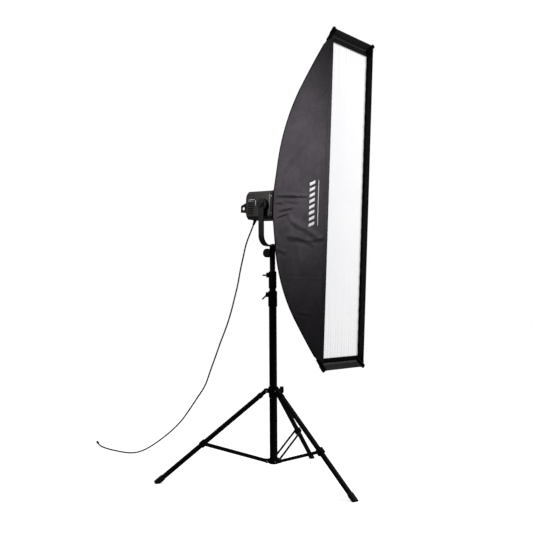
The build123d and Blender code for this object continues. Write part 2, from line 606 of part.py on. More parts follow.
def rear_cover():
    """Tapered rear shell of the lamp."""
    def cap(inset, rear, front):
        wide = body_section(
            LAMP_HALF_WIDTH - inset, LAMP_HALF_HEIGHT - inset, -LAMP_HALF_HEIGHT + inset,
            LAMP_CHAMFER - inset * 0.5,
        )
        narrow = body_section(
            REAR_FACE_HALF - inset, REAR_FACE_TOP - inset, REAR_FACE_BOTTOM + inset,
            LAMP_CHAMFER * 0.7 - inset * 0.5,
        )
        return loft([section_plane(rear) * narrow, section_plane(front) * wide])

    shell = cap(0, REAR_FACE, HOUSING_REAR) - cap(LAMP_WALL, REAR_FACE + LAMP_WALL, HOUSING_REAR)
    for x, v in screw_places():
        shell -= drum(1.7, REAR_FACE - 1, REAR_FACE + 5, x, v)
    shell -= drum(3.0 + FIT_GAP, REAR_FACE - 1, REAR_FACE + 8, DIAL_X, DIAL_V)
    shell -= Pos(forward(SWITCH_X, REAR_FACE, SWITCH_V)) * Box(SWITCH_W + 1, 12, SWITCH_H + 1.2)
    return AIM * shell


DIAL_X, DIAL_V, DIAL_R = 30.0, 24.0, 11.0
SWITCH_X, SWITCH_V = 30.0, -12.0
SWITCH_W, SWITCH_D, SWITCH_H = 12.0, 8.0, 18.0
SWITCH_THROW = 12.0           # rocker travel, degrees
DISPLAY_X, DISPLAY_V, DISPLAY_W, DISPLAY_H = -28.0, 18.0, 26.0, 20.0


def screw_places():
    """Rear cover screws, across and up."""
    across = GRIP_HALF - GRIP_PLATE - COVER_SCREW_R - COVER_SCREW_ROOM
    inset = 9.0
    return [
        (x, v)
        for x in (-across, across)
        for v in (REAR_FACE_BOTTOM + inset, REAR_FACE_TOP - inset)
    ]


def rear_screws():
    """Four pan-head screws in the rear cover."""
    screws = []
    for x, v in screw_places():
        head = drum(COVER_SCREW_R, REAR_FACE - 1.8, REAR_FACE, x, v)
        screws.append(AIM * (head + drum(1.5, REAR_FACE - 0.5, REAR_FACE + 9, x, v)))
    return screws


def rear_grip():
    """Aiming grip on the rear cover: two cheeks, each with a window, joined by a round bar."""
    root = REAR_FACE - SEAT_GAP
    points = [
        (root, GRIP_TOP), (root, GRIP_BOTTOM), (GRIP_END, GRIP_BOTTOM), (GRIP_END, GRIP_CORNER),
    ]
    cheek = make_face(Polyline(*points, close=True))
    cheek = fillet(cheek.vertices().sort_by(Axis.X)[:2], GRIP_BAR_R - 1)
    window = RectangleRounded(GRIP_WINDOW, GRIP_WINDOW, GRIP_WINDOW * 0.25)
    cheek -= Pos(GRIP_WINDOW_U, GRIP_WINDOW_V) * window
    bar_u, bar_v = GRIP_END + GRIP_BAR_R + 1, GRIP_BOTTOM + GRIP_BAR_R + 1
    grip = disc(-GRIP_HALF + 1, bar_u, bar_v, GRIP_BAR_R, 2 * GRIP_HALF - 2)
    for x in (-GRIP_HALF + GRIP_PLATE, GRIP_HALF):
        plane = Plane(origin=forward(x, 0, 0), x_dir=(0, -1, 0), z_dir=(-1, 0, 0))
        grip += extrude(plane * cheek, GRIP_PLATE)
    return AIM * grip


def display():
    """Small status window in the rear cover."""
    pane = Pos(forward(DISPLAY_X, REAR_FACE - 1, DISPLAY_V)) * Box(DISPLAY_W, 1.9, DISPLAY_H)
    return AIM * fillet(pane.edges().filter_by(Axis.Y), 2)


def dimmer_dial():
    """Knurled dial that sets the brightness."""
    start = REAR_FACE - SLIDE_GAP
    plane = Plane(origin=forward(DIAL_X, start, DIAL_V), x_dir=(1, 0, 0), z_dir=(0, 1, 0))
    dial = plane.location * lobed_knob(DIAL_R, 12, 16, 0.1)
    return AIM * (dial + drum(3.0, start - 1, REAR_FACE + 7, DIAL_X, DIAL_V))


def power_switch():
    """Rocker switch."""
    place = Pos(forward(SWITCH_X, REAR_FACE - 1, SWITCH_V)) * Rot(SWITCH_THROW / 2, 0, 0)
    return AIM * place * Box(SWITCH_W, SWITCH_D, SWITCH_H)


def front_bezel():
    """Front casting with the throat and groove that take the softbox's bayonet."""
    plate = body_section(
        LAMP_HALF_WIDTH + 0.8, LAMP_HALF_HEIGHT + 0.8, -LAMP_HALF_HEIGHT - 0.8, LAMP_CHAMFER
    )
    body = extrude(section_plane(HOUSING_FRONT + SEAT_GAP) * plate, BEZEL_FRONT - HOUSING_FRONT - SEAT_GAP)
    body -= drum(BEZEL_GROOVE_R, HOUSING_FRONT - 1, BEZEL_FRONT - 4)
    body -= drum(MOUNT_THROAT_R, HOUSING_FRONT, BEZEL_FRONT + 1)
    slot = Box(30, LATCH_PEG + 1, LATCH_PEG * 2 + LATCH_TRAVEL)
    return AIM * (body - Pos(forward(LAMP_HALF_WIDTH, LATCH_U, LATCH_V - LATCH_TRAVEL / 2)) * slot)


def mount_latch():
    """Sliding catch that frees the bayonet."""
    tab = Pos(4.4, 0, 0) * Box(6, 9, 20)
    tab = fillet(tab.edges().filter_by(Axis.X), 2.5) + Pos(-1, 0, 0) * Box(10, LATCH_PEG, LATCH_PEG + 2)
    return AIM * Pos(forward(LAMP_HALF_WIDTH, LATCH_U, LATCH_V)) * tab


def bayonet():
    """Bayonet insert locked in the lamp's throat; the speed ring turns on it."""
    neck = drum(RING_BORE_R - 2.5, BEZEL_FRONT - 9, RING_FRONT + SLIDE_GAP + 2.5)
    for n in range(3):
        start = -90 + n * 120
        wedge = Plane(origin=forward(0, 0, 0), x_dir=(1, 0, 0), z_dir=(0, -1, 0)).location * (
            Rot(0, 0, start) * Pos(24, 0, BEZEL_FRONT - 7) * Box(48, 26, 2.4)
        )
        neck += wedge & drum(BEZEL_GROOVE_R - 0.6, BEZEL_FRONT - 20, BEZEL_FRONT)
    neck += drum(RING_BORE_R - SLIDE_GAP, RING_REAR - 1, RING_FRONT)
    neck += drum(RING_BORE_R + 4, RING_FRONT + SLIDE_GAP, RING_FRONT + SLIDE_GAP + 2.5)
    return AIM * (neck - drum(INSERT_BORE_R, 0, RING_FRONT + 10))


def heatsink():
    """Finned heat sink behind the emitter."""
    half = HEATSINK_HALF
    body = Pos(forward(0, HEATSINK_FRONT - FIN_BASE / 2, 0)) * Box(2 * half, FIN_BASE, 2 * half)
    pitch = (2 * half - FIN_THICKNESS) / (FIN_COUNT - 1)
    depth = HEATSINK_FRONT - FIN_BASE - HEATSINK_REAR
    for n in range(FIN_COUNT):
        x = -half + FIN_THICKNESS / 2 + n * pitch
        fin = Box(FIN_THICKNESS, depth, 2 * half)
        body += Pos(forward(x, HEATSINK_REAR + depth / 2, 0)) * fin
    return AIM * body


def fan_frame():
    """Square fan frame with its rear bars."""
    middle = FAN_REAR + FAN_DEPTH / 2
    body = Pos(forward(0, middle, 0)) * Box(2 * FAN_HALF, FAN_DEPTH, 2 * FAN_HALF)
    body -= drum(FAN_R + 1.5, FAN_REAR + 3, FAN_REAR + FAN_DEPTH + 1)
    body -= drum(FAN_R + 1.5, FAN_REAR - 1, FAN_REAR + 4)
    for angle in (45, 135):
        bar = Pos(forward(0, FAN_REAR + 1.2, 0)) * Rot(0, angle, 0) * Box(2 * FAN_R + 8, 2.4, 6)
        body += bar
    return AIM * body


def fan_rotor():
    """Fan hub with its blades."""
    low, high = FAN_REAR + 4, FAN_REAR + FAN_DEPTH - 2
    rotor = drum(FAN_HUB_R, low, high)
    for n in range(FAN_BLADES):
        blade = Pos(FAN_HUB_R + 10, 0, 0) * Rot(32, 0, 0) * Box(22, 1.6, 13)
        turned = Rot(0, 0, n * 360 / FAN_BLADES) * blade
        rotor += Plane(origin=forward(0, (low + high) / 2, 0), x_dir=(1, 0, 0), z_dir=(0, -1, 0)).location * turned
    return AIM * rotor


def led_module():
    """Emitter board with its round chip."""
    board = Pos(forward(0, HEATSINK_FRONT + 1.5, 0)) * Box(2 * LED_HALF, 3 - 2 * SEAT_GAP, 2 * LED_HALF)
    return AIM * (board + drum(LED_CHIP_R, HEATSINK_FRONT + 2, HEATSINK_FRONT + 4.5))


def glass_dome():
    """Protective dome over the emitter."""
    base_u = HOUSING_FRONT - 6
    rim = drum(DOME_R + 5, base_u, base_u + 2)
    dome = Pos(forward(0, base_u, 0)) * (Sphere(DOME_R) - Sphere(DOME_R - DOME_WALL))
    dome &= Pos(forward(0, base_u + 20, 0)) * Box(80, 40, 80)
    return AIM * (rim - drum(DOME_R - DOME_WALL, base_u - 1, base_u + 3) + dome)


def pivot_discs():
    """Round friction discs between the lamp's sides and the yoke."""
    start = LAMP_HALF_WIDTH + SEAT_GAP
    depth = YOKE_HALF - YOKE_BAR / 2 - SLIDE_GAP - start
    discs = []
    for side in (-1, 1):
        low = start if side > 0 else -start - depth
        body = disc(low, 0, 0, DISC_R, depth)
        body = chamfer(body.edges().filter_by(GeomType.CIRCLE), 1.5)
        discs.append(AIM * (body - disc(low - 1, 0, 0, PIVOT_BOLT_R + FIT_GAP, depth + 2)))
    return discs


def cord_gland():
    """Strain relief under the lamp, where the lead comes out."""
    top = -LAMP_HALF_HEIGHT - SEAT_GAP
    flange = AIM * Pos(forward(GLAND_X, GLAND_U, top - 1.5)) * Cylinder(GLAND_R + 2, 3)
    along = (Vector(*CORD_ROUTE[1]) - Vector(*CORD_ROUTE[0])).normalized()
    start = Vector(*CORD_ROUTE[0]) + Vector(0, 0, TILT_AXIS_HEIGHT - ROUTE_AXIS_HEIGHT)
    tip = Plane(origin=start + along * GLAND_TIP, z_dir=-along)
    sleeve = extrude(tip * Circle(CORD_R + 1.6), GLAND_LENGTH + 12, taper=-6)
    above = Pos(0, 0, 100) * Box(400, 400, 200)
    sleeve -= AIM * Pos(forward(GLAND_X, GLAND_U, top - 1.5)) * above
    bore = extrude(Plane(origin=start, z_dir=along) * Circle(CORD_R + SEAT_GAP), 2 * GLAND_TIP)
    return (flange + sleeve) - bore


# ================================================================ softbox
def seam_points(squeeze, inset):
    """Corners and directions of the seam from the ring to the front corner.

    Each entry is (point, direction) in (forward, up). squeeze shortens the forward
    direction; inset moves the line into the box.
    """
    a0, bend = radians(SOCKET_ANGLE), radians(ROD_BEND)
    start = (0.0, REAR_HALF_HEIGHT)
    along = (sin(a0), cos(a0))
    across = (cos(a0), -sin(a0))
    knee = (start[0] + ROD_STRAIGHT * along[0], start[1] + ROD_STRAIGHT * along[1])
    run, rise = ROD_BEND_R * sin(bend), ROD_BEND_R * (1 - cos(bend))
    hip = (knee[0] + run * along[0] + rise * across[0], knee[1] + run * along[1] + rise * across[1])
    end = ((FRONT_U - REAR_U) / cos(radians(SIDE_SLANT)), FRONT_HALF_HEIGHT)
    hip_angle = a0 + bend
    end_angle = 2 * atan2(end[0] - hip[0], end[1] - hip[1]) - hip_angle
    found = []
    for point, angle in ((start, a0), (knee, a0), (hip, hip_angle), (end, end_angle)):
        way = Vector(sin(angle) * squeeze, cos(angle)).normalized()
        place = Vector(point[0] * squeeze + way.Y * inset, point[1] - way.X * inset)
        found.append((place, way))
    return found


def seam(squeeze=1.0, inset=0.0):
    """The seam as a straight run and two tangent arcs."""
    (p0, _), (p1, t1), (p2, t2), (p3, _) = seam_points(squeeze, inset)
    return [Line(p0, p1), TangentArc(p1, p2, tangent=t1), TangentArc(p2, p3, tangent=t2)]


def side_plane(side, inward):
    """Plane of a side panel: local X forward along the panel, local Y up."""
    slant = radians(SIDE_SLANT)
    normal = Vector(-side * cos(slant), -sin(slant), 0)
    ahead = Vector(side * sin(slant), -cos(slant), 0)
    origin = forward(side * REAR_HALF_WIDTH, REAR_U, 0) + normal * inward
    return Plane(origin=origin, x_dir=ahead, z_dir=normal if side > 0 else -normal)


def side_panel(side):
    """Tall side panel, a flat sheet between the upper and lower rods."""
    def flip(point):
        return Vector(point.X, -point.Y)

    (p0, _), (p1, t1), (p2, t2), (p3, _) = seam_points(1.0, 0.0)
    edges = [
        *seam(),
        Line(p3, flip(p3)),
        Line(flip(p0), flip(p1)),
        TangentArc(flip(p1), flip(p2), tangent=flip(t1)),
        TangentArc(flip(p2), flip(p3), tangent=flip(t2)),
        Line(flip(p0), p0),
    ]
    plane = side_plane(side, 0.0)
    sheet = extrude(plane * make_face(edges), -FABRIC if side > 0 else FABRIC)
    return AIM * sheet


def end_panel(side):
    """Narrow top or bottom panel, bent over the rods between the side panels."""
    squeeze = cos(radians(SIDE_SLANT))
    outer, inner = seam(squeeze, 0.0), seam(squeeze, FABRIC)
    loop = [*outer, Line(outer[-1] @ 1, inner[-1] @ 1), *inner, Line(inner[0] @ 0, outer[0] @ 0)]
    plane = Plane(origin=forward(0, REAR_U, 0), x_dir=(0, -1, 0), z_dir=(-1, 0, 0))
    band = extrude(plane * make_face(loop), FRONT_HALF_WIDTH + 20, both=True)
    band &= between_sides(0.0)
    return AIM * (band if side > 0 else mirror(band, Plane.XY))


def between_sides(inset, low=REAR_U - 5, high=FRONT_U + 30):
    """Wedge of space between the side panels' inner faces."""
    def half_at(u):
        return REAR_HALF_WIDTH + (u - REAR_U) * tan(radians(SIDE_SLANT)) - inset

    corners = [
        (-half_at(low), -low), (half_at(low), -low), (half_at(high), -high), (-half_at(high), -high),
    ]
    return extrude(make_face(Polyline(*corners, close=True)), 900, both=True)


def half_height_at(u):
    """Half height of the box, inside the fabric, at u on its last arc."""
    squeeze = cos(radians(SIDE_SLANT))
    (hip, way), (end, _) = seam_points(squeeze, 0.0)[2:]
    chord = end - hip
    turn = atan2(chord.X, chord.Y) - atan2(way.X, way.Y)
    radius = chord.length / (2 * sin(turn))
    centre = hip + Vector(way.Y, -way.X) * radius
    ahead = u - REAR_U - centre.X
    return centre.Y + sqrt(radius ** 2 - ahead ** 2)


def rods():
    """Four flexible rods from the ring's sockets to the front corners."""
    made = []
    for side in (-1, 1):
        plane = side_plane(side, ROD_INSET)
        (p0, t0), (p1, _), (p2, t2), (p3, _) = seam_points(1.0, ROD_INSET)
        tail = p0 - t0 * (SOCKET_DEPTH - 4)
        path = Wire([
            Line(tail, p1),
            TangentArc(p1, p2, tangent=t0),
            TangentArc(p2, p3, tangent=t2),
        ])
        for up in (1, -1):
            here = path if up > 0 else mirror(path, Plane.XZ)
            start = here @ 0
            way = here % 0
            placed = plane * here
            profile = plane * (Plane(origin=start, z_dir=way) * Circle(ROD_R))
            made.append(AIM * sweep(profile, path=placed))
    return made


def rod_axis(side, up, distance):
    """Point on a rod's straight part, at a distance past the rear edge of the fabric."""
    plane = side_plane(side, ROD_INSET)
    (p0, t0) = seam_points(1.0, ROD_INSET)[0]
    point = p0 + t0 * distance
    return plane.from_local_coords(Vector(point.X, point.Y * up, 0))


def speed_ring():
    """Cast ring that turns on the bayonet, with four rod sockets."""
    body = drum(RING_R, RING_REAR, RING_FRONT)
    sockets = []
    for side in (-1, 1):
        for up in (1, -1):
            low, high = rod_axis(side, up, -SOCKET_DEPTH), rod_axis(side, up, 0)
            inward = Vector(low.X * 0.62, -(RING_REAR + RING_FRONT) / 2, low.Z * 0.9)
            body += rod_between(low, high, SOCKET_R)
            body += rod_between(inward, low + (high - low) * 0.4, SOCKET_R * 0.8)
            sockets.append(rod_between(rod_axis(side, up, -SOCKET_DEPTH + 4), high, ROD_R + SEAT_GAP))
    body -= drum(RING_BORE_R, RING_REAR - 20, RING_FRONT)
    body -= drum(RING_BORE_R + 4 + SLIDE_GAP, RING_FRONT, RING_FRONT + 20)
    body -= drum(RING_R + 40, RING_REAR - 30, RING_REAR)
    for hole in sockets:
        body -= hole
    return AIM * body


def rear_collar():
    """Flat fabric collar that closes the rear of the box round the ring."""
    face = Rectangle(2 * REAR_HALF_WIDTH - 1, 2 * REAR_HALF_HEIGHT - 1) - Circle(RING_R + 0.6)
    corner = SOCKET_R + 4.0
    sheet = extrude(section_plane(REAR_U - 1.6) * face, FABRIC)
    for side in (-1, 1):
        for up in (1, -1):
            sheet -= rod_between(rod_axis(side, up, -2 * SOCKET_DEPTH), rod_axis(side, up, 30), corner)
    return [AIM * piece for piece in sheet.solids()]


def corner_caps():
    """Rod pockets at the four front corners."""
    bore = ROD_R + SLIDE_GAP * 4
    (bent, bent_way), (end, way) = seam_points(1.0, ROD_INSET)[2:]
    arc = TangentArc(bent, end, tangent=bent_way)
    held = arc.trim(1 - CAP_LENGTH / arc.length, 1.0)
    made = []
    for side in (-1, 1):
        plane = side_plane(side, ROD_INSET)
        for line, radius in (
            (Wire([held, Line(end, end + way * CAP_WALL)]), bore + CAP_WALL), (Wire([held]), bore),
        ):
            for up in (1, -1):
                here = line if up > 0 else mirror(line, Plane.XZ)
                profile = plane * (Plane(origin=here @ 0, z_dir=here % 0) * Circle(radius))
                made.append(AIM * sweep(profile, path=plane * here))
    return [made[0] - made[2], made[1] - made[3], made[4] - made[6], made[5] - made[7]]


def cloth(u, inset, half_height):
    """A flat sheet of diffusion cloth across the box at u."""
    half = REAR_HALF_WIDTH + (u - REAR_U) * tan(radians(SIDE_SLANT)) - inset
    return AIM * (Pos(forward(0, u, 0)) * Box(2 * half, SHEET, 2 * half_height))


def front_diffuser():
    """Outer diffusion cloth, set back behind the lip."""
    u = FRONT_U - DIFFUSER_RECESS
    return cloth(u, SHEET_ROOM + 2 * ROD_INSET, half_height_at(u) - SHEET_ROOM - 2 * ROD_INSET)


def inner_baffle():
    """Inner diffusion cloth, halfway down the box."""
    return cloth(BAFFLE_U, 2.5 * ROD_INSET, REAR_HALF_HEIGHT + 300)


# ================================================================ cord
def route_radii():
    """Bend radius at each inner point of the cord's route."""
    points = [Vector(*p) for p in CORD_ROUTE]
    radii = []
    for before, here, after in zip(points, points[1:], points[2:]):
        turn = radians((here - before).get_angle(after - here))
        shorter = min((here - before).length, (after - here).length)
        radii.append(0.45 * shorter / tan(turn / 2))
    return radii


def power_cord():
    """The lamp's lead as a plain tube along its route."""
    path = FilletPolyline(*CORD_ROUTE, radius=route_radii())
    start = Plane(origin=path @ 0, z_dir=path % 0)
    return sweep(start * Circle(CORD_R), path=path)


def plug_frame():
    """Frame at the cord's far end, +Z along the plug."""
    end, before = Vector(*CORD_ROUTE[-1]), Vector(*CORD_ROUTE[-2])
    return Plane(origin=end, z_dir=(end - before).normalized())


def cord_plug():
    """Locking connector on the cord's far end, lying on the floor."""
    sleeve = Pos(0, 0, 6) * Cylinder(CORD_R + 1.2, 12)
    barrel = Pos(0, 0, 12 + (PLUG_LENGTH - 12) / 2) * Cylinder(PLUG_R, PLUG_LENGTH - 12)
    barrel = chamfer(barrel.edges().filter_by(GeomType.CIRCLE), 1.0)
    barrel -= Pos(0, 0, PLUG_LENGTH) * Cylinder(PLUG_R - 1.6, 16)
    shape = plug_frame().location * (sleeve + barrel)
    return Pos(0, 0, PLUG_R - CORD_ROUTE[-1][2]) * shape


def nodes():
    """Every named piece of the object, as a shape or a list of separate solids."""
    made = {
        "base_tube": base_tube(),
        "base_hub": base_hub(),
        "brace_pins": brace_pins(),
        "lower_clamp": clamp(LOWER_CLAMP_R, BASE_TUBE_R, MIDDLE_TUBE_R, LOWER_CLAMP_BOTTOM, LOWER_CLAMP_TOP),
        "lower_clamp_lever": clamp_lever(LOWER_CLAMP_R, LOWER_CLAMP_TOP, LOWER_LEVER_LENGTH, -LOWER_LEVER_DROP),
        "middle_tube": middle_tube(),
        "upper_clamp": clamp(UPPER_CLAMP_R, MIDDLE_TUBE_R, TOP_TUBE_R, UPPER_CLAMP_BOTTOM, UPPER_CLAMP_TOP),
        "upper_clamp_lever": clamp_lever(UPPER_CLAMP_R, UPPER_CLAMP_TOP, UPPER_LEVER_LENGTH, 0.0),
        "top_tube": top_tube(),
        "spigot": spigot(),
        "leg_collar": leg_collar(),
        "leg_pins": leg_pins(),
        "collar_knob": collar_knob(),
        "yoke": yoke(),
        "yoke_bolt": yoke_bolt(),
        "yoke_adapter": adapter(),
        "adapter_knob": adapter_knob(),
        "tilt_knob": tilt_knob(),
        "pivot_bolt": pivot_bolt(),
        "lamp_housing": housing(),
        "rear_cover": rear_cover(),
        "rear_screws": rear_screws(),
        "rear_grip": rear_grip(),
        "status_display": display(),
        "dimmer_dial": dimmer_dial(),
        "power_switch": power_switch(),
        "front_bezel": front_bezel(),
        "mount_latch": mount_latch(),
        "bayonet_insert": bayonet(),
        "heatsink": heatsink(),
        "fan_frame": fan_frame(),
        "fan_rotor": fan_rotor(),
        "led_module": led_module(),
        "glass_dome": glass_dome(),
        "pivot_discs": pivot_discs(),
        "cord_gland": cord_gland(),
        "speed_ring": speed_ring(),
        "rods": rods(),
        "left_panel": side_panel(-1),
        "right_panel": side_panel(1),
        "top_panel": end_panel(1),
        "bottom_panel": end_panel(-1),
        "rear_collar": rear_collar(),
        "corner_caps": corner_caps(),
        "front_diffuser": front_diffuser(),
        "inner_baffle": inner_baffle(),
        "power_cord": power_cord(),
        "cord_plug": cord_plug(),
    }
    for n, azimuth in enumerate(LEG_AZIMUTHS, 1):
        made[f"leg_{n}"] = leg_tube(azimuth)
        made[f"foot_{n}"] = leg_foot(azimuth)
        made[f"brace_clip_{n}"] = [brace_clip(azimuth) - clip_pin(azimuth), clip_pin(azimuth)]
        made[f"brace_{n}"] = brace(azimuth)
    return made


def main():
    """Builds every piece and writes one STEP file for each."""
    os.makedirs("parts", exist_ok=True)
    radii = route_radii()
    cord = power_cord()
    length = cord.volume / (3.14159265 * CORD_R ** 2)
    print("cord length mm", round(length), "radii mm", [round(r) for r in radii])
    print("fold travel", round(FOLD_TRAVEL, 2), "leg", round(LEG_ANGLE, 3), "brace", round(BRACE_ANGLE, 3))
    for name, shape in nodes().items():
        solids = shape if isinstance(shape, list) else [shape]
        solids = [solid for piece in solids for solid in piece.solids()]
        export_step(solids[0] if len(solids) == 1 else Compound(children=solids), f"parts/{name}.step")


if __name__ == "__main__":
    main()
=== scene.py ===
"""Finished look of a strip softbox on its lamp head, yoke and three-legged stand.

Sizes are in millimetres unless a name says otherwise, and every mesh is written
in metres. The lamp's own frame is (across, forward, up) about the tilt axis.
"""

from __future__ import annotations

import json
import logging
from dataclasses import dataclass
from enum import Enum
from math import atan2, cos, exp, floor, pi, radians, sin, sqrt, tan
from typing import Callable, Iterable, Sequence, Union

import bmesh
import bpy
from mathutils import Matrix, Vector, noise
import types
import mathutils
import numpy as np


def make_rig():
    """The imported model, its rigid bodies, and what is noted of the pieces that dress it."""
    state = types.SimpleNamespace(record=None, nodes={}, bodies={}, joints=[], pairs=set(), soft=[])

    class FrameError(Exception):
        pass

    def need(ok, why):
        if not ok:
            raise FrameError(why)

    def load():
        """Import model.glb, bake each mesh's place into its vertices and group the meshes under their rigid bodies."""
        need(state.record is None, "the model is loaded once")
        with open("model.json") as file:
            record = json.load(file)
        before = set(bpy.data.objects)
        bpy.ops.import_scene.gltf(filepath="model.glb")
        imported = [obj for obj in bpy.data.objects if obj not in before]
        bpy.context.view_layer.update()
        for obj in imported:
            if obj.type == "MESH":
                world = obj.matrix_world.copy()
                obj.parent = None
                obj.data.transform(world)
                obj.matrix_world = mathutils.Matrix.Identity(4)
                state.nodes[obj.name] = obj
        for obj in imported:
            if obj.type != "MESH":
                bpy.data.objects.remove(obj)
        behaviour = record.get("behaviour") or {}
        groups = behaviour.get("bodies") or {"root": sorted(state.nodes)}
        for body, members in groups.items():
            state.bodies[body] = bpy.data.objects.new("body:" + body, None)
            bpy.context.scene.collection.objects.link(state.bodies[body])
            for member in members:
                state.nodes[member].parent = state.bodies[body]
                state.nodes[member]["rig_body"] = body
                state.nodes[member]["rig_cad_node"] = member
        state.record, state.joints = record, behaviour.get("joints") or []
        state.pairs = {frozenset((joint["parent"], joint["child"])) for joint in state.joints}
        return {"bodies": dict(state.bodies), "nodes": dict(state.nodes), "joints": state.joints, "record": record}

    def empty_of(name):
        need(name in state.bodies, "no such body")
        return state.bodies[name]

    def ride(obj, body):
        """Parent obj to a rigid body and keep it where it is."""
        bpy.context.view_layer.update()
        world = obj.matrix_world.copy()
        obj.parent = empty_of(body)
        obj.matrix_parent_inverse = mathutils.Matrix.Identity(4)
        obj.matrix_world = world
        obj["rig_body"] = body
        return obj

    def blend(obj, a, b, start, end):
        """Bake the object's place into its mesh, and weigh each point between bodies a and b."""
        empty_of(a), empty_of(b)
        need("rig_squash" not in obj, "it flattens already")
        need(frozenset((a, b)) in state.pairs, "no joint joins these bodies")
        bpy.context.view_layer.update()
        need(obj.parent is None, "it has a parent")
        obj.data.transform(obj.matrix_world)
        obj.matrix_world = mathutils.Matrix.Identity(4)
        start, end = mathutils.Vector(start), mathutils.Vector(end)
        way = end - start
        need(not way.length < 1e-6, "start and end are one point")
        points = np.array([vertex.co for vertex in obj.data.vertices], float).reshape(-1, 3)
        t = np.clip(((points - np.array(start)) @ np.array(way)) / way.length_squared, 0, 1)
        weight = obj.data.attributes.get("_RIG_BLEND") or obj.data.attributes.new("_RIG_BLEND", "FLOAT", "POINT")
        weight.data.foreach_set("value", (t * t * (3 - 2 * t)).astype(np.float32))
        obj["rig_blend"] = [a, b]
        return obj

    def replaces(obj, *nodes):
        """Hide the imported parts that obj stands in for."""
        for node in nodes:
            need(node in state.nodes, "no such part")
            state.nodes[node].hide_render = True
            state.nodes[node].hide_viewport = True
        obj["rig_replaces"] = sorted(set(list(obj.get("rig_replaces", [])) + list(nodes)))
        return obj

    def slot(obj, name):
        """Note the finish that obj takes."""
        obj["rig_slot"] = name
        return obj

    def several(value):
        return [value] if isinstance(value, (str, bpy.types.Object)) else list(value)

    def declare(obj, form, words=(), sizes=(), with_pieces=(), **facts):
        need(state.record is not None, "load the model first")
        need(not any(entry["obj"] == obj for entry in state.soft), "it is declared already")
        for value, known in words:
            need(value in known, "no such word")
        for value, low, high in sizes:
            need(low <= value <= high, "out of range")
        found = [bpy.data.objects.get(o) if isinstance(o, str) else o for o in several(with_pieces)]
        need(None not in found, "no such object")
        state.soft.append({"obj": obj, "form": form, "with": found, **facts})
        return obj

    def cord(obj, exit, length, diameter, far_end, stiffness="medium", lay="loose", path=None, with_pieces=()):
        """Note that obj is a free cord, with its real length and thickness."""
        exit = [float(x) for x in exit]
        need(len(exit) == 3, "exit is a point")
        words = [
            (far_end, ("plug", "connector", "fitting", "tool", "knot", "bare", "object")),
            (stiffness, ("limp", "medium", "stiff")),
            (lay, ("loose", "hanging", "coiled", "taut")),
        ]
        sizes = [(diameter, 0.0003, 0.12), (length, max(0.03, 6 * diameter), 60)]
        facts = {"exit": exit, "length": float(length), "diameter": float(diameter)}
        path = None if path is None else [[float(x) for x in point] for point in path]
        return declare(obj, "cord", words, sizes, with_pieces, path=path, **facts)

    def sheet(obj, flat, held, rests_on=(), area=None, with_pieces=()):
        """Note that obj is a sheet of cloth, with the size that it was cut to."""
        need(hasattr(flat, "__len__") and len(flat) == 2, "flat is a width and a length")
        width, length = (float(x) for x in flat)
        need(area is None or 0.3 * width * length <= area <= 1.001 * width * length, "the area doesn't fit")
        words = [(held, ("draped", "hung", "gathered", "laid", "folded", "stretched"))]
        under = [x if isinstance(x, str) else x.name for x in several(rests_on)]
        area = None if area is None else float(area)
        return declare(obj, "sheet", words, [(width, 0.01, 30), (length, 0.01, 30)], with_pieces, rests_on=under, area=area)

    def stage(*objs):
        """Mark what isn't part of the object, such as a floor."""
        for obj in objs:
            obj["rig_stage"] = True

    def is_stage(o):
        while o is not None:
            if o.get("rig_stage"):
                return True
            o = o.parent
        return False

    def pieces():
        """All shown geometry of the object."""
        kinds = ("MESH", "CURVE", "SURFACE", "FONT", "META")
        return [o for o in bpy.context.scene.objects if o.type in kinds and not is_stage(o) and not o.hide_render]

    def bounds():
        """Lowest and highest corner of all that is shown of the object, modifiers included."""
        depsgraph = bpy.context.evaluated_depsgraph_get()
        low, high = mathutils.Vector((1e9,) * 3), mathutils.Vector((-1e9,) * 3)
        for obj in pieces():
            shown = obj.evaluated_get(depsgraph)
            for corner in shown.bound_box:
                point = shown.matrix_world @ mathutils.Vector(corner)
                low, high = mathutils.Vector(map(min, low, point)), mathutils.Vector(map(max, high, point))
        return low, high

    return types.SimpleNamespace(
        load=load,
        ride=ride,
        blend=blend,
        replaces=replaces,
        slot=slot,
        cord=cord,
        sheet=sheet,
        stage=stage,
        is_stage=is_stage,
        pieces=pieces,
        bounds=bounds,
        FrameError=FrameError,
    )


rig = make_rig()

LOG = logging.getLogger("softbox")
MM = 0.001
TILT_AXIS_HEIGHT = 1231.0
NOSE_DOWN = 2.9
AIM = Matrix.Translation((0, 0, TILT_AXIS_HEIGHT)) @ Matrix.Rotation(radians(NOSE_DOWN), 4, "X")
WHOLE = Matrix.Identity(4)

Colour = tuple[float, float, float]
Value = Union["Signal", float, tuple]
Place = Callable[[float, float], Sequence[float]]


# ------------------------------------------------------------------ materials
class Signal:
    """One output inside a material, usable in ordinary arithmetic."""

    def __init__(self, recipe: "Recipe", socket: bpy.types.NodeSocket) -> None:
        """Keeps the recipe that the output belongs to."""
        self.recipe = recipe
        self.socket = socket

    def __add__(self, other: Value) -> "Signal":
        """Sum."""
        return self.recipe.math("ADD", self, other)

    def __sub__(self, other: Value) -> "Signal":
        """Difference."""
        return self.recipe.math("SUBTRACT", self, other)

    def __mul__(self, other: Value) -> "Signal":
        """Product."""
        return self.recipe.math("MULTIPLY", self, other)

    __radd__ = __add__
    __rmul__ = __mul__


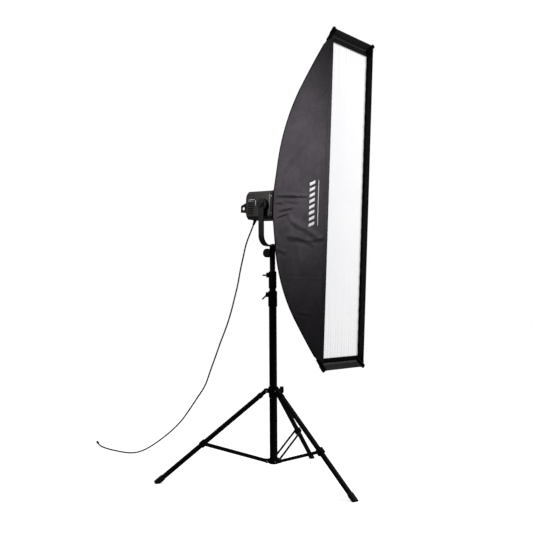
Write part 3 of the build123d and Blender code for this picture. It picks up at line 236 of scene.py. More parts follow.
class Recipe:
    """The nodes of one finish."""

    def __init__(self, name: str) -> None:
        """Starts an empty material of that name."""
        self.material = bpy.data.materials.new(f"{name}_finish")
        self.material.use_nodes = True
        self.tree = self.material.node_tree
        self.tree.nodes.clear()

    def node(
        self, kind: str, settings: dict | None = None, inputs: dict | None = None, output: int | str = 0
    ) -> Signal:
        """Adds a node.

        Args:
            kind: The node's type.
            settings: Its properties, or "stops" for a ramp, which are set first.
            inputs: Values or links, by socket name or number.
            output: Which output to return.

        Returns:
            That output.
        """
        made = self.tree.nodes.new(kind)
        for name, value in (settings or {}).items():
            if name == "stops":
                ramp = made.color_ramp.elements
                while len(ramp) < len(value):
                    ramp.new(0.5)
                for element, (position, shade) in zip(ramp, value):
                    element.position, element.color = position, (*shade, 1.0)
            else:
                setattr(made, name, value)
        for key, value in (inputs or {}).items():
            if isinstance(value, Signal):
                self.tree.links.new(value.socket, made.inputs[key])
            else:
                made.inputs[key].default_value = value
        return Signal(self, made.outputs[output])

    def math(self, operation: str, *values: Value) -> Signal:
        """A sum on one or two values."""
        return self.node("ShaderNodeMath", {"operation": operation}, dict(enumerate(values)))

    def mix(self, share: Value, low: Value, high: Value) -> Signal:
        """A colour between two, by share."""
        ends = {0: share}
        for socket, shade in ((6, low), (7, high)):
            ends[socket] = shade if isinstance(shade, Signal) else (*shade, 1.0)
        return self.node("ShaderNodeMix", {"data_type": "RGBA", "clamp_factor": True}, ends, 2)

    def speckle(self, place: Signal, per_metre: float, detail: float = 2.0) -> Signal:
        """Soft noise with that many patches to a metre."""
        return self.node(
            "ShaderNodeTexNoise",
            {},
            {"Vector": place, "Scale": per_metre, "Detail": detail, "Roughness": 0.55},
        )

    def stretched(self, place: Signal, across: float, along: float, height: float) -> Signal:
        """The place scaled apart on its three axes."""
        return self.node(
            "ShaderNodeVectorMath", {"operation": "MULTIPLY"}, {0: place, 1: (across, along, height)}
        )

    def step(self, value: Value, low: float, high: float) -> Signal:
        """0 below low, 1 above high, smooth between."""
        return self.node(
            "ShaderNodeMapRange",
            {"interpolation_type": "SMOOTHSTEP"},
            {"Value": value, "From Min": low, "From Max": high},
        )

    def bump(self, height: Value, depth: float, strength: float = 1.0) -> Signal:
        """A normal from a height of 0 to 1 that stands for depth, in metres."""
        return self.node("ShaderNodeBump", {}, {"Height": height, "Distance": depth, "Strength": strength})

    def finish(self, **inputs: Value) -> bpy.types.Material:
        """Closes the material with one surface shader, its sockets named with underscores."""
        named = {name.replace("_", " "): value for name, value in inputs.items()}
        named["Specular IOR Level"] = named.pop("Specular", 0.5)
        for name in ("Base Color", "Emission Color"):
            if isinstance(named.get(name), tuple):
                named[name] = (*named[name], 1.0)
        shader = self.node("ShaderNodeBsdfPrincipled", {}, named)
        self.node_end(shader)
        return self.material

    def node_end(self, shader: Signal) -> None:
        """Links a shader to the material's output."""
        end = self.tree.nodes.new("ShaderNodeOutputMaterial")
        self.tree.links.new(shader.socket, end.inputs["Surface"])


def tinted(colour: Colour, by: float) -> Colour:
    """The colour, lighter or darker by a share."""
    return tuple(min(1.0, channel * by) for channel in colour)


@dataclass(frozen=True)
class Coating:
    """A painted, moulded or bare metal surface."""

    name: str
    colour: Colour
    roughness: float
    metallic: float = 0.0
    specular: float = 0.45
    coat: float = 0.0
    mottle: float = 0.2
    grain: float = 900.0
    relief: float = 0.00005
    drawn: float = 0.0
    scuffs: float = 0.25
    slot: str = ""

    def make(self) -> bpy.types.Material:
        """Builds the material."""
        r = Recipe(self.name)
        place = r.node("ShaderNodeTexCoord", output="Object")
        patches = r.speckle(place, 17.0, 4.0)
        smudges = r.speckle(place, 55.0, 5.0)
        grains = r.speckle(place, self.grain, 2.0)
        lines = r.speckle(r.stretched(place, 1500.0, 1500.0, 22.0), 1.0, 2.0)
        rubbed = r.step(r.speckle(r.stretched(place, 190.0, 90.0, 260.0), 1.0, 6.0), 0.66, 0.78) * self.scuffs
        body = r.mix(patches, tinted(self.colour, 1 - self.mottle), tinted(self.colour, 1 + self.mottle))
        body = r.mix(rubbed * 0.35, body, tuple(0.5 * c + 0.08 for c in self.colour))
        rough = self.roughness + (smudges - 0.5) * 0.24 + rubbed * 0.18
        height = grains * (1 - self.drawn) + lines * self.drawn
        return r.finish(
            Base_Color=body,
            Roughness=rough,
            Metallic=self.metallic,
            Specular=self.specular,
            Coat_Weight=self.coat,
            Normal=r.bump(height, self.relief),
        )


@dataclass(frozen=True)
class Cloth:
    """A coated woven fabric; it follows the piece's cut where it has one."""

    name: str
    thread: Colour
    shade: Colour
    cut: bool = True
    pitch: float = 0.0011
    relief: float = 0.00016
    roughness: float = 0.62
    specular: float = 0.3
    sheen: float = 0.12
    glow: float = 0.0
    ribbed: bool = False
    lined: float = 0.0
    slot: str = ""

    def make(self) -> bpy.types.Material:
        """Builds the material."""
        r = Recipe(self.name)
        if self.cut:
            place = r.node("ShaderNodeUVMap", {"uv_map": "cut"})
        else:
            place = r.node("ShaderNodeTexCoord", output="Object")
        parts = r.node("ShaderNodeSeparateXYZ", {}, {0: place})
        across = parts
        along = Signal(r, parts.socket.node.outputs[1 if self.cut else 2])
        turn = 2 * pi / self.pitch
        warp = r.math("SINE", across * turn)
        weft = r.math("SINE", along * turn)
        weave = (warp * (0.9 if self.ribbed else 0.5) + weft * (0.1 if self.ribbed else 0.5)) * 0.5 + 0.5
        slub = r.speckle(r.stretched(place, 700.0, 120.0, 700.0), 1.0, 2.0)
        clouds = r.speckle(place, 7.0, 5.0)
        rub = r.speckle(place, 38.0, 6.0)
        handled = clouds * 0.6 + rub * 0.4
        body = r.mix(r.step(handled, 0.34, 0.68), self.shade, self.thread)
        body = r.mix(weave * 0.22, body, tinted(self.shade, 0.6))
        if self.lined:
            body = r.mix(r.step(across, self.lined, self.lined + 0.001), body, tinted(self.shade, 0.09))
        height = weave * 0.7 + slub * 0.3
        soft = r.bump(rub, 0.0009, 0.5)
        woven = r.node("ShaderNodeBump", {}, {"Height": height, "Distance": self.relief, "Normal": soft})
        return r.finish(
            Base_Color=body,
            Roughness=self.roughness + (rub - 0.5) * 0.2,
            Specular=self.specular,
            Sheen_Weight=self.sheen,
            Sheen_Roughness=0.5,
            # Emission: on the diffuser cloth this glow is painted light; on the display bars it is the display's own
            # light.
            Emission_Color=self.thread,
            Emission_Strength=self.glow,
            Normal=woven,
        )


@dataclass(frozen=True)
class Clear:
    """Glass or a dark display window."""

    name: str
    colour: Colour
    roughness: float
    transmission: float
    slot: str = ""

    def make(self) -> bpy.types.Material:
        """Builds the material."""
        r = Recipe(self.name)
        place = r.node("ShaderNodeTexCoord", output="Object")
        dust = r.step(r.speckle(place, 260.0, 6.0), 0.55, 0.8)
        prints = r.speckle(place, 45.0, 4.0)
        return r.finish(
            Base_Color=r.mix(dust * 0.15, self.colour, (0.6, 0.6, 0.6)),
            Roughness=self.roughness + dust * 0.12 + prints * 0.05,
            Transmission_Weight=self.transmission,
            Coat_Weight=0.3,
            Normal=r.bump(prints, 0.00002),
        )


class Finish(Enum):
    """Every finish on the object, made by its recipe."""

    TUBE = Coating(
        "tube_black", (0.0035, 0.0033, 0.0035), 0.42, specular=0.14, drawn=0.6, relief=0.00002,
    )
    CAST = Coating(
        "cast_black", (0.0022, 0.002, 0.0022), 0.58, specular=0.08, grain=1400.0, relief=0.00012,
    )
    KNOB = Coating(
        "knob_black", (0.0035, 0.0032, 0.0035), 0.52, specular=0.12, grain=2200.0,
        relief=0.00006,
    )
    BAR = Coating(
        "flat_bar_black", (0.006, 0.006, 0.0063), 0.44, specular=0.2, grain=700.0, scuffs=0.5,
    )
    RIVET = Coating("rivet_steel", (0.58, 0.57, 0.55), 0.3, 1.0, grain=600.0, relief=0.00002)
    FOOT = Coating(
        "foot_rubber", (0.012, 0.012, 0.012), 0.78, specular=0.3, grain=1100.0, relief=0.0002,
    )
    YOKE = Coating(
        "yoke_paint", (0.0075, 0.0068, 0.0066), 0.45, specular=0.2, grain=1300.0, relief=0.00008,
    )
    SHELL = Coating(
        "lamp_shell", (0.019, 0.0165, 0.0155), 0.48, specular=0.3, grain=1500.0, relief=0.00009,
    )
    TRIM = Coating(
        "lamp_trim", (0.0055, 0.005, 0.005), 0.47, specular=0.2, grain=1500.0, relief=0.00006,
    )
    # The raised side band is coloured much lighter than the shell as a painted highlight.
    BAND = Coating(
        "side_band", (0.075, 0.069, 0.065), 0.38, grain=1200.0, relief=0.00004,
        slot="lamp_shell",
    )
    SCREW = Coating("screw_steel", (0.22, 0.22, 0.23), 0.32, 1.0, grain=500.0, relief=0.00002)
    DISPLAY = Clear("display_window", (0.01, 0.012, 0.016), 0.08, 0.0, slot="display_glass")
    DIAL = Coating("dial_plastic", (0.014, 0.014, 0.015), 0.5, grain=1800.0, relief=0.00006)
    FIN = Coating("bare_aluminium", (0.62, 0.63, 0.65), 0.34, 1.0, grain=800.0, relief=0.00003)
    BOARD = Coating("board_white", (0.78, 0.78, 0.74), 0.5, grain=600.0, mottle=0.05)
    FAN = Coating("fan_black", (0.015, 0.015, 0.016), 0.44, grain=1200.0)
    DOME = Clear("dome_glass", (0.96, 0.97, 0.97), 0.03, 0.95)
    RING = Coating("ring_alloy", (0.012, 0.012, 0.0125), 0.42, 0.3, grain=900.0, scuffs=0.5)
    ROD = Coating("rod_fibre", (0.55, 0.54, 0.5), 0.42, drawn=0.8, relief=0.00003)
    FABRIC = Cloth(
        "box_fabric", (0.058, 0.050, 0.060), (0.034, 0.029, 0.035), specular=0.18, sheen=0.05,
    )
    HEM = Cloth(
        "hem_cloth", (0.052, 0.045, 0.054), (0.030, 0.026, 0.031), pitch=0.0014, ribbed=True,
        specular=0.18, sheen=0.05, lined=0.027, slot="box_fabric",
    )
    LINING = Cloth(
        "lining_tape", (0.0036, 0.0032, 0.0036), (0.0022, 0.002, 0.0022), pitch=0.0016,
        ribbed=True, specular=0.06, sheen=0.0, slot="box_fabric",
    )
    POCKET = Cloth(
        "pocket_cloth", (0.0034, 0.003, 0.0034), (0.0022, 0.002, 0.0022), cut=False,
        specular=0.1, sheen=0.0, slot="box_fabric",
    )
    THREAD = Cloth(
        "seam_thread", (0.05, 0.045, 0.05), (0.02, 0.018, 0.02), cut=False, pitch=0.0008,
        slot="box_fabric",
    )
    PRINT = Coating(
        "stripe_ink", (0.72, 0.72, 0.73), 0.55, grain=1600.0, mottle=0.06, slot="box_fabric",
    )
    # The diffuser cloth's glow is painted light that makes the white cloth read brighter than the studio lights make
    # it.
    WHITE = Cloth(
        "diffuser_cloth", (0.90, 0.90, 0.91), (0.84, 0.84, 0.86), pitch=0.0009, relief=0.00008,
        roughness=0.85, sheen=0.0, glow=0.42,
    )
    CORD = Coating(
        "cord_rubber", (0.006, 0.006, 0.0065), 0.6, specular=0.25, grain=1500.0, relief=0.00006,
    )
    # Pad print ink; the same colour also paints the upright highlight bar on each side of the lamp.
    MARK = Coating(
        "pad_print", (0.55, 0.55, 0.56), 0.5, grain=1500.0, mottle=0.08, slot="lamp_shell",
    )
    LIT = Cloth(
        "lit_segment", (0.35, 0.75, 0.95), (0.3, 0.68, 0.9), cut=False, pitch=0.0007, glow=0.6,
        slot="display_glass",
    )

    @property
    def slot(self) -> str:
        """The record's material slot that this finish belongs to."""
        return self.value.slot or self.value.name

    @property
    def material(self) -> bpy.types.Material:
        """The finish's material, built once."""
        return bpy.data.materials.get(f"{self.value.name}_finish") or self.value.make()


# ------------------------------------------------------------------ meshes
def settled(
    work: bmesh.types.BMesh,
    name: str,
    place: Matrix,
    body: str,
    finish: Finish,
    stands_for: Iterable[str] = (),
) -> bpy.types.Object:
    """Turns worked stock into a piece that rides on a body.

    Args:
        work: The stock, in millimetres in place's frame.
        name: The piece's name.
        place: Where the stock's frame stands, in millimetres.
        body: The moving body that carries it.
        finish: What it is made of.
        stands_for: The plain parts that it replaces.

    Returns:
        The piece.
    """
    bmesh.ops.transform(work, matrix=Matrix.Scale(MM, 4) @ place, verts=work.verts)
    mesh = bpy.data.meshes.new(name)
    work.to_mesh(mesh)
    work.free()
    mesh.shade_smooth()
    mesh.set_sharp_from_angle(angle=radians(38))
    piece = bpy.data.objects.new(name, mesh)
    bpy.context.scene.collection.objects.link(piece)
    mesh.materials.append(finish.material)
    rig.slot(piece, finish.slot)
    if body:
        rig.ride(piece, body)
    if stands_for:
        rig.replaces(piece, *stands_for)
    LOG.info("%s: %d faces on %s", name, len(mesh.polygons), body)
    return piece


def skin(
    columns: int, rows: int, place: Place, cut: Place | None = None, outward: Sequence[float] | None = None
) -> bmesh.types.BMesh:
    """A grid whose corners are moved to where a rule says.

    Args:
        columns: Steps across.
        rows: Steps along.
        place: Gives a corner's point from its shares across and along.
        cut: Gives its place on the flat cloth, in metres.
        outward: The side that the faces look to; a closed skin has none.

    Returns:
        The worked grid.
    """
    work = bmesh.new()
    bmesh.ops.create_grid(work, x_segments=columns, y_segments=rows, size=0.5)
    layer = work.loops.layers.uv.new("cut")
    for face in work.faces:
        for loop in face.loops:
            a, b = loop.vert.co.x + 0.5, loop.vert.co.y + 0.5
            loop[layer].uv = cut(a, b) if cut else (a, b)
    for corner in work.verts:
        corner.co = place(corner.co.x + 0.5, corner.co.y + 0.5)
    bmesh.ops.remove_doubles(work, verts=work.verts, dist=0.01)
    if outward is None:
        bmesh.ops.recalc_face_normals(work, faces=work.faces)
    else:
        work.normal_update()
        facing = sum((face.normal * face.calc_area() for face in work.faces), Vector())
        if facing.dot(Vector(outward)) < 0:
            bmesh.ops.reverse_faces(work, faces=work.faces)
    return work


def thickened(piece: bpy.types.Object, thickness: float) -> bpy.types.Object:
    """Gives a skin its thickness, grown inwards."""
    wall = piece.modifiers.new("thickness", "SOLIDIFY")
    wall.thickness, wall.offset = thickness * MM, -1.0
    return piece


class Stock:
    """Rigid work built up from softened blocks, drums and rings."""

    def __init__(self, place: Matrix = WHOLE) -> None:
        """Starts empty stock in a frame given in millimetres."""
        self.work = bmesh.new()
        self.place = place

    def soften(self, corners: Iterable[bmesh.types.BMVert], edge: float) -> None:
        """Rounds the sharp edges of what was just made."""
        self.work.normal_update()
        sharp = [
            e for e in {e for v in corners for e in v.link_edges}
            if len(e.link_faces) == 2 and e.calc_face_angle(0.0) > radians(50)
        ]
        if edge > 0:
            bmesh.ops.bevel(
                self.work, geom=sharp, offset=edge, offset_type="OFFSET", segments=2,
                profile=0.5, affect="EDGES", material=-1, clamp_overlap=True,
            )

    def block(
        self, size: Sequence[float], centre: Sequence[float], edge: float = 0.5, turn: Matrix = WHOLE
    ) -> "Stock":
        """A softened block of that size."""
        shape = Matrix.Translation(centre) @ turn @ Matrix.Diagonal((*size, 1.0))
        made = bmesh.ops.create_cube(self.work, size=1.0, matrix=shape)
        self.soften(made["verts"], edge)
        return self

    def drum(
        self, radius: float, start: Sequence[float], end: Sequence[float],
        edge: float = 0.5, sides: int = 40, far: float | None = None,
    ) -> "Stock":
        """A softened drum from start to end, with another radius at its end if far is given."""
        start, end = Vector(start), Vector(end)
        way = end - start
        turn = Matrix.Translation((start + end) / 2) @ way.to_track_quat("Z", "Y").to_matrix().to_4x4()
        made = bmesh.ops.create_cone(
            self.work, cap_ends=True, cap_tris=False, segments=sides, radius1=radius,
            radius2=radius if far is None else far, depth=way.length, matrix=turn,
        )
        self.soften(made["verts"], edge)
        return self

    def ring(
        self, radius: float, wire: float, centre: Sequence[float], axis: Sequence[float],
        sides: int = 48, around: int = 10,
    ) -> "Stock":
        """A round ring of wire about an axis, spun from one section."""
        turn = Matrix.Translation(centre) @ Vector(axis).to_track_quat("Z", "Y").to_matrix().to_4x4()
        section = turn @ Matrix.Translation((radius, 0, 0)) @ Matrix.Rotation(pi / 2, 4, "X")
        made = bmesh.ops.create_circle(
            self.work, cap_ends=False, segments=around, radius=wire, matrix=section
        )
        loop = list({e for v in made["verts"] for e in v.link_edges})
        bmesh.ops.spin(
            self.work, geom=made["verts"] + loop, cent=centre, axis=turn.to_3x3() @ Vector((0, 0, 1)),
            angle=2 * pi, steps=sides, use_merge=True,
        )
        bmesh.ops.recalc_face_normals(self.work, faces=self.work.faces)
        return self

    def done(self, name: str, body: str, finish: Finish, stands_for: Iterable[str] = ()) -> bpy.types.Object:
        """Settles the stock as a piece on a body."""
        return settled(self.work, name, self.place, body, finish, stands_for)


def dress(frame: dict, finish: Finish, *nodes: str) -> None:
    """Gives carried-over parts their finish."""
    for name in nodes:
        part = frame["nodes"][name]
        for place in part.material_slots:
            place.material = finish.material
        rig.slot(part, finish.slot)


# ------------------------------------------------------------------ lead
@dataclass(frozen=True)
class Lead:
    """The lamp's lead: out of its gland, down behind the stand and along the floor."""

    radius: float = 3.5
    route: tuple[tuple[float, float, float], ...] = (
        (-20.0, 92.0, 1156.0),
        (-20.0, 112.0, 1119.0),
        (-19.0, 143.0, 1064.0),
        (-18.0, 160.5, 1006.0),
        (-16.5, 181.0, 945.0),
        (-15.0, 197.0, 880.0),
        (-14.0, 221.0, 811.0),
        (-12.5, 246.0, 742.0),
        (-11.0, 277.0, 674.0),
        (-9.5, 315.0, 606.0),
        (-8.0, 349.5, 536.0),
        (-6.5, 388.0, 462.0),
        (-4.5, 422.0, 390.0),
        (-3.0, 478.0, 330.0),
        (-2.0, 530.0, 271.0),
        (-1.0, 589.0, 209.0),
        (0.0, 655.0, 157.0),
        (1.5, 724.0, 112.0),
        (1.0, 796.0, 69.0),
        (-1.0, 869.0, 31.5),
        (-3.0, 943.0, 9.0),
        (-3.5, 1016.0, 3.7),
        (-1.0, 1088.0, 3.7),
        (6.0, 1158.0, 3.7),
        (21.0, 1226.0, 3.7),
        (47.0, 1292.0, 3.7),
        (82.0, 1352.0, 3.7),
    )
    plug_radius: float = 6.0
    plug_length: float = 44.0

    def line(self) -> bpy.types.Object:
        """The lead's smooth line as a curve."""
        curve = bpy.data.curves.new("lead_line", "CURVE")
        curve.dimensions = "3D"
        spline = curve.splines.new("NURBS")
        spline.points.add(len(self.route) - 1)
        for point, place in zip(spline.points, self.route):
            point.co = (*(Vector(place) * MM), 1.0)
        spline.order_u = 3
        spline.use_endpoint_u = True
        spline.resolution_u = 10
        return bpy.data.objects.new("lead_line", curve)

    def connector(self) -> bpy.types.Object:
        """The threaded connector that lies on the floor at the far end."""
        end, before = Vector(self.route[-1]), Vector(self.route[-2])
        way = (end - before).to_track_quat("Z", "Y").to_matrix().to_4x4()
        stock = Stock(Matrix.Translation(end + Vector((0, 0, self.plug_radius - end.z))) @ way)
        stock.drum(self.radius + 1.3, (0, 0, 0), (0, 0, 12), 0.6, 32)
        for rib in range(4):
            stock.ring(self.radius + 1.2, 0.45, (0, 0, 2.4 + 2.4 * rib), (0, 0, 1), 28, 8)
        stock.drum(self.plug_radius - 0.5, (0, 0, 11.5), (0, 0, self.plug_length - 12), 0.8, 36)
        for rib in range(5):
            stock.ring(self.plug_radius - 0.5, 0.4, (0, 0, 15 + 2.6 * rib), (0, 0, 1), 32, 8)
        stock.drum(self.plug_radius - 0.1, (0, 0, self.plug_length - 12.5), (0, 0, self.plug_length), 0.8, 36)
        return stock.done("lead_connector", "yoke_arm", Finish.KNOB, ["cord_plug"])

    def build(self) -> None:
        """Makes the lead and its connector."""
        line = self.line()
        bare = bpy.data.meshes.new_from_object(line)
        path = [tuple(v.co) for v in bare.vertices]
        line.data.bevel_depth, line.data.bevel_resolution, line.data.use_fill_caps = self.radius * MM, 4, True
        tube = bpy.data.meshes.new_from_object(line)
        bpy.data.meshes.remove(bare)
        bpy.data.objects.remove(line)
        tube.shade_smooth()
        tube.materials.clear()
        tube.materials.append(Finish.CORD.material)
        lead = bpy.data.objects.new("lead", tube)
        bpy.context.scene.collection.objects.link(lead)
        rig.slot(lead, Finish.CORD.slot)
        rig.replaces(lead, "power_cord")
        plug = self.connector()
        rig.blend(lead, "yoke_arm", "lamp", start=(-0.019, 0.143, 1.064), end=(-0.020, 0.096, 1.148))
        length = sum((Vector(b) - Vector(a)).length for a, b in zip(path, path[1:]))
        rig.cord(
            lead, exit=path[0], length=round(length, 3), diameter=2 * self.radius * MM, far_end="connector",
            stiffness="medium", lay="loose", path=path, with_pieces=[plug],
        )
        LOG.info("lead: %.3f m", length)


# ------------------------------------------------------------------ softbox
@dataclass(frozen=True)
class Fold:
    """A fold in a side panel, from one (forward, up) place to another."""

    start: tuple[float, float]
    end: tuple[float, float]
    width: float
    height: float

    def lift(self, forward: float, up: float) -> float:
        """How far the cloth stands out there."""
        ax, ay = self.start
        dx, dy = self.end[0] - ax, self.end[1] - ay
        size = sqrt(dx * dx + dy * dy)
        t = ((forward - ax) * dx + (up - ay) * dy) / (size * size)
        if not -0.2 < t < 1.2:
            return 0.0
        off = ((forward - ax) * dy - (up - ay) * dx) / size / self.width
        if abs(off) > 4:
            return 0.0
        inside = max(0.0, min(1.0, (t + 0.15) / 1.3))
        fade = (4 * inside * (1 - inside)) ** 0.6
        return self.height * fade * (exp(-off * off) - 0.65 * exp(-((off - 1.5) ** 2)))


@dataclass(frozen=True)
class Dimple:
    """A hollow or a swelling in a side panel."""

    centre: tuple[float, float]
    reach: tuple[float, float]
    height: float

    def lift(self, forward: float, up: float) -> float:
        """How far the cloth stands out there."""
        a = (forward - self.centre[0]) / self.reach[0]
        b = (up - self.centre[1]) / self.reach[1]
        return self.height * exp(-a * a - b * b) if abs(a) < 3 and abs(b) < 3 else 0.0


class Side(Enum):
    """The two tall sides of the box."""

    LEFT = -1
    RIGHT = 1


class End(Enum):
    """The two narrow ends of the box."""

    TOP = 1
    BOTTOM = -1


@dataclass
class StripBox:
    """The tall fabric box in front of the lamp."""

    front_half_width: float = 150.0
    front_half_height: float = 700.0
    front: float = 420.0
    rear: float = 58.0
    rear_half_width: float = 60.0
    rear_half_height: float = 62.0
    fabric: float = 1.4
    socket_angle: float = 10.5
    rod_straight: float = 130.0
    rod_bend_radius: float = 640.0
    rod_bend: float = 31.0
    ring_radius: float = 57.0
    recess: float = 27.0
    baffle: float = 215.0
    hem: float = 26.0
    rear_run: float = 0.37
    stitch_pitch: float = 7.0
    stitch_count: int = 186
    cloth_half_height: float = 657.0
    tape_heights: tuple[float, float] = (653.0, 672.0)
    creases: tuple[float, float] = (375.0, -325.0)
    folds: tuple[Fold, ...] = (
        Fold((92, 37), (205, 27), 7.0, 9.0),
        Fold((190, 29), (278, 21), 6.0, 6.8),
        Fold((76, 5), (118, 3), 5.5, 5.4),
        Fold((150, 8), (232, -2), 6.0, 3.9),
        Fold((104, -29), (192, -23), 6.0, 6.0),
        Fold((92, -58), (168, -45), 4.5, 5.4),
        Fold((172, -52), (214, -104), 12.0, 7.5),
        Fold((196, -78), (286, -118), 15.0, 10.5),
        Fold((256, -106), (372, -158), 13.0, 8.2),
        Fold((172, -146), (300, -158), 13.0, 10.5),
        Fold((262, -160), (330, -184), 10.0, 6.8),
        Fold((300, -168), (396, -160), 8.0, 5.4),
        Fold((84, -196), (150, -216), 9.0, 6.8),
        Fold((70, -120), (120, -190), 10.0, 3.9),
        Fold((228, -190), (262, -300), 16.0, 5.1),
        Fold((100, 130), (250, 240), 16.0, 2.4),
        Fold((330, 420), (415, 470), 9.0, 1.8),
        Fold((250, -470), (330, -476), 6.0, 3.3),
        Fold((395, 40), (420, -240), 8.0, 2.0),
    )
    dimples: tuple[Dimple, ...] = (
        Dimple((240, -200), (80, 40), -9.1),
        Dimple((118, -225), (34, 15), -4.5),
        Dimple((300, -420), (50, 90), -4.5),
        Dimple((240, 90), (110, 240), 3.2),
        Dimple((245, -40), (60, 40), 3.9),
    )

    def __post_init__(self) -> None:
        """Works out the seam's arcs from the rod's bends."""
        self.slant = atan2(self.front_half_width - self.rear_half_width, self.front - self.rear)
        self.panel_depth = (self.front - self.rear) / cos(self.slant)
        first, bend = radians(self.socket_angle), radians(self.rod_bend)
        ahead, off = Vector((sin(first), cos(first))), Vector((cos(first), -sin(first)))
        self.knee = Vector((0.0, self.rear_half_height)) + self.rod_straight * ahead
        run, rise = self.rod_bend_radius * sin(bend), self.rod_bend_radius * (1 - cos(bend))
        self.hip = self.knee + run * ahead + rise * off
        self.knee_centre = self.knee + self.rod_bend_radius * off
        reach = Vector((self.panel_depth, self.front_half_height)) - self.hip
        turn = atan2(reach.x, reach.y) - first - bend
        self.hip_radius = reach.length / (2 * sin(turn))
        last = first + bend
        self.hip_centre = self.hip + self.hip_radius * Vector((cos(last), -sin(last)))

    def seam(self, up: float) -> float:
        """How far forward along a side panel the corner seam is, at a height."""
        up = abs(up)
        if up <= self.rear_half_height:
            return 0.0
        if up <= self.knee.y:
            return (up - self.rear_half_height) * tan(radians(self.socket_angle))
        below = up <= self.hip.y
        centre = self.knee_centre if below else self.hip_centre
        radius = self.rod_bend_radius if below else self.hip_radius
        return centre.x - sqrt(max(radius * radius - (up - centre.y) ** 2, 0.0))

    def on_side(self, side: Side, depth: float, up: float, lift: float = 0.0) -> tuple[float, float, float]:
        """A point on a side panel, lifted outwards from it."""
        s = side.value
        return (
            s * (self.rear_half_width + depth * sin(self.slant) + lift * cos(self.slant)),
            -(self.rear + depth * cos(self.slant) - lift * sin(self.slant)),
            up,
        )

    def on_end(self, end: End, across: float, up: float, lift: float = 0.0) -> tuple[float, float, float]:
        """A point on an end panel at a share across and a height on its seam, lifted outwards."""
        ahead = self.rear_run
        if up > self.rear_half_height + 1:
            ahead = (self.seam(up + 1) - self.seam(up - 1)) * cos(self.slant)
        size = sqrt(ahead * ahead + 4)
        forward = self.seam(up) * cos(self.slant)
        half = self.rear_half_width + forward * tan(self.slant)
        return (
            across * half,
            -(self.rear + forward - lift * 2 / size),
            end.value * (up + lift * ahead / size),
        )

    def relief(self, side: Side, depth: float, up: float) -> float:
        """How far a side panel's cloth stands out of its flat plane."""
        edge = min(depth - self.seam(up), self.panel_depth - depth)
        hold = min(1.0, max(edge, 0.0) / 22.0)
        forward = self.rear + depth * cos(self.slant)
        if side is Side.RIGHT:
            up = -up * 0.93 + 18
        seed = Vector((forward / 130, up / 190, 3.1 * side.value))
        lift = 2.2 * noise.noise(seed) + 0.7 * noise.noise(Vector((forward / 34, up / 60, 7.7)))
        lift += sum(fold.lift(forward, up) for fold in self.folds)
        lift += sum(dimple.lift(forward, up) for dimple in self.dimples)
        for crease in self.creases:
            off = (up - crease - 2.5 * noise.noise(Vector((forward / 70, crease, 0)))) / 3.2
            if abs(off) < 4:
                lift += 1.1 * exp(-off * off) - 0.9 * exp(-((off - 1.6) ** 2))
        puckers = 0.5 * sin(up / 3.4 + 2.5 * noise.noise(Vector((up / 25, 0, 0))))
        puckers *= exp(-max(edge, 0.0) / 14.0)
        return lift * hold + puckers * min(1.0, max(edge, 0.0) / 4.0)

    def side_panel(self, side: Side) -> bpy.types.Object:
        """One tall side, flat between the rods but for its folds."""

        def spot(a: float, b: float) -> tuple[float, float]:
            up = self.front_half_height * (2 * b - 1)
            start = self.seam(up)
            return start + (self.panel_depth - start) * a, up

        def place(a: float, b: float) -> tuple[float, float, float]:
            depth, up = spot(a, b)
            return self.on_side(side, depth, up, self.relief(side, depth, up))

        def cut(a: float, b: float) -> tuple[float, float]:
            depth, up = spot(a, b)
            return depth * MM, up * MM

        name = f"{side.name.lower()}_side_cloth"
        work = skin(82, 340, place, cut, (side.value, 0, 0))
        node = f"{side.name.lower()}_panel"
        piece = thickened(settled(work, name, AIM, "softbox", Finish.FABRIC, [node]), self.fabric)
        steps = 200
        area = sum(
            self.panel_depth - self.seam(self.front_half_height * ((2 * n + 1) / steps - 1))
            for n in range(steps)
        ) * 2 * self.front_half_height / steps
        trim = [self.side_hem(side), self.stitches(side), self.stripes(side)]
        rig.sheet(
            piece, flat=(self.panel_depth * MM, 2 * self.front_half_height * MM), held="stretched",
            rests_on=["rods", "speed_ring"], area=area * MM * MM, with_pieces=trim,
        )
        return piece

    def side_hem(self, side: Side) -> bpy.types.Object:
        """The folded hem down a side's front edge, turned in round the lip."""
        s = self.front_half_height

        def place(a: float, b: float) -> tuple[float, float, float]:
            up = s * (2 * b - 1) * 0.997
            run = a * 2 * (self.hem + 2)
            over = run - self.hem - 2
            depth = self.panel_depth - abs(over) + 1.2
            width = max(self.panel_depth - self.seam(up), 0.5)
            depth = max(depth, self.panel_depth - width)
            roll = max(0.0, 1 - abs(over) / 2.4)
            lift = self.relief(side, depth, up)
            lift += (1.0 if over < 0 else -self.fabric - 1.0) * (1 - roll) - roll * 0.9
            lift += 0.35 * noise.noise(Vector((up / 12, side.value, a * 2)))
            return self.on_side(side, depth, up, lift)

        def cut(a: float, b: float) -> tuple[float, float]:
            return a * 2 * self.hem * MM, 2 * s * (b - 0.5) * MM

        work = skin(18, 320, place, cut, (0, -1, 0))
        return thickened(settled(work, f"{side.name.lower()}_front_hem", AIM, "softbox", Finish.HEM), 0.7)

    def stitches(self, side: Side) -> bpy.types.Object:
        """Two rows of stitches that hold the front hem."""
        stock = Stock(AIM)
        for row in (self.hem - 3.0, self.hem - 8.0):
            for n in range(self.stitch_count):
                up = -self.front_half_height + 50 + self.stitch_pitch * n
                depth = self.panel_depth - row
                if depth < self.seam(up) + 2:
                    continue
                here = self.on_side(side, depth, up, self.relief(side, depth, up) + 1.15)
                stock.block((0.7, 0.9, 4.6), here, 0.0, Matrix.Rotation(side.value * self.slant, 4, "Z"))
        return stock.done(f"{side.name.lower()}_hem_stitches", "softbox", Finish.THREAD)

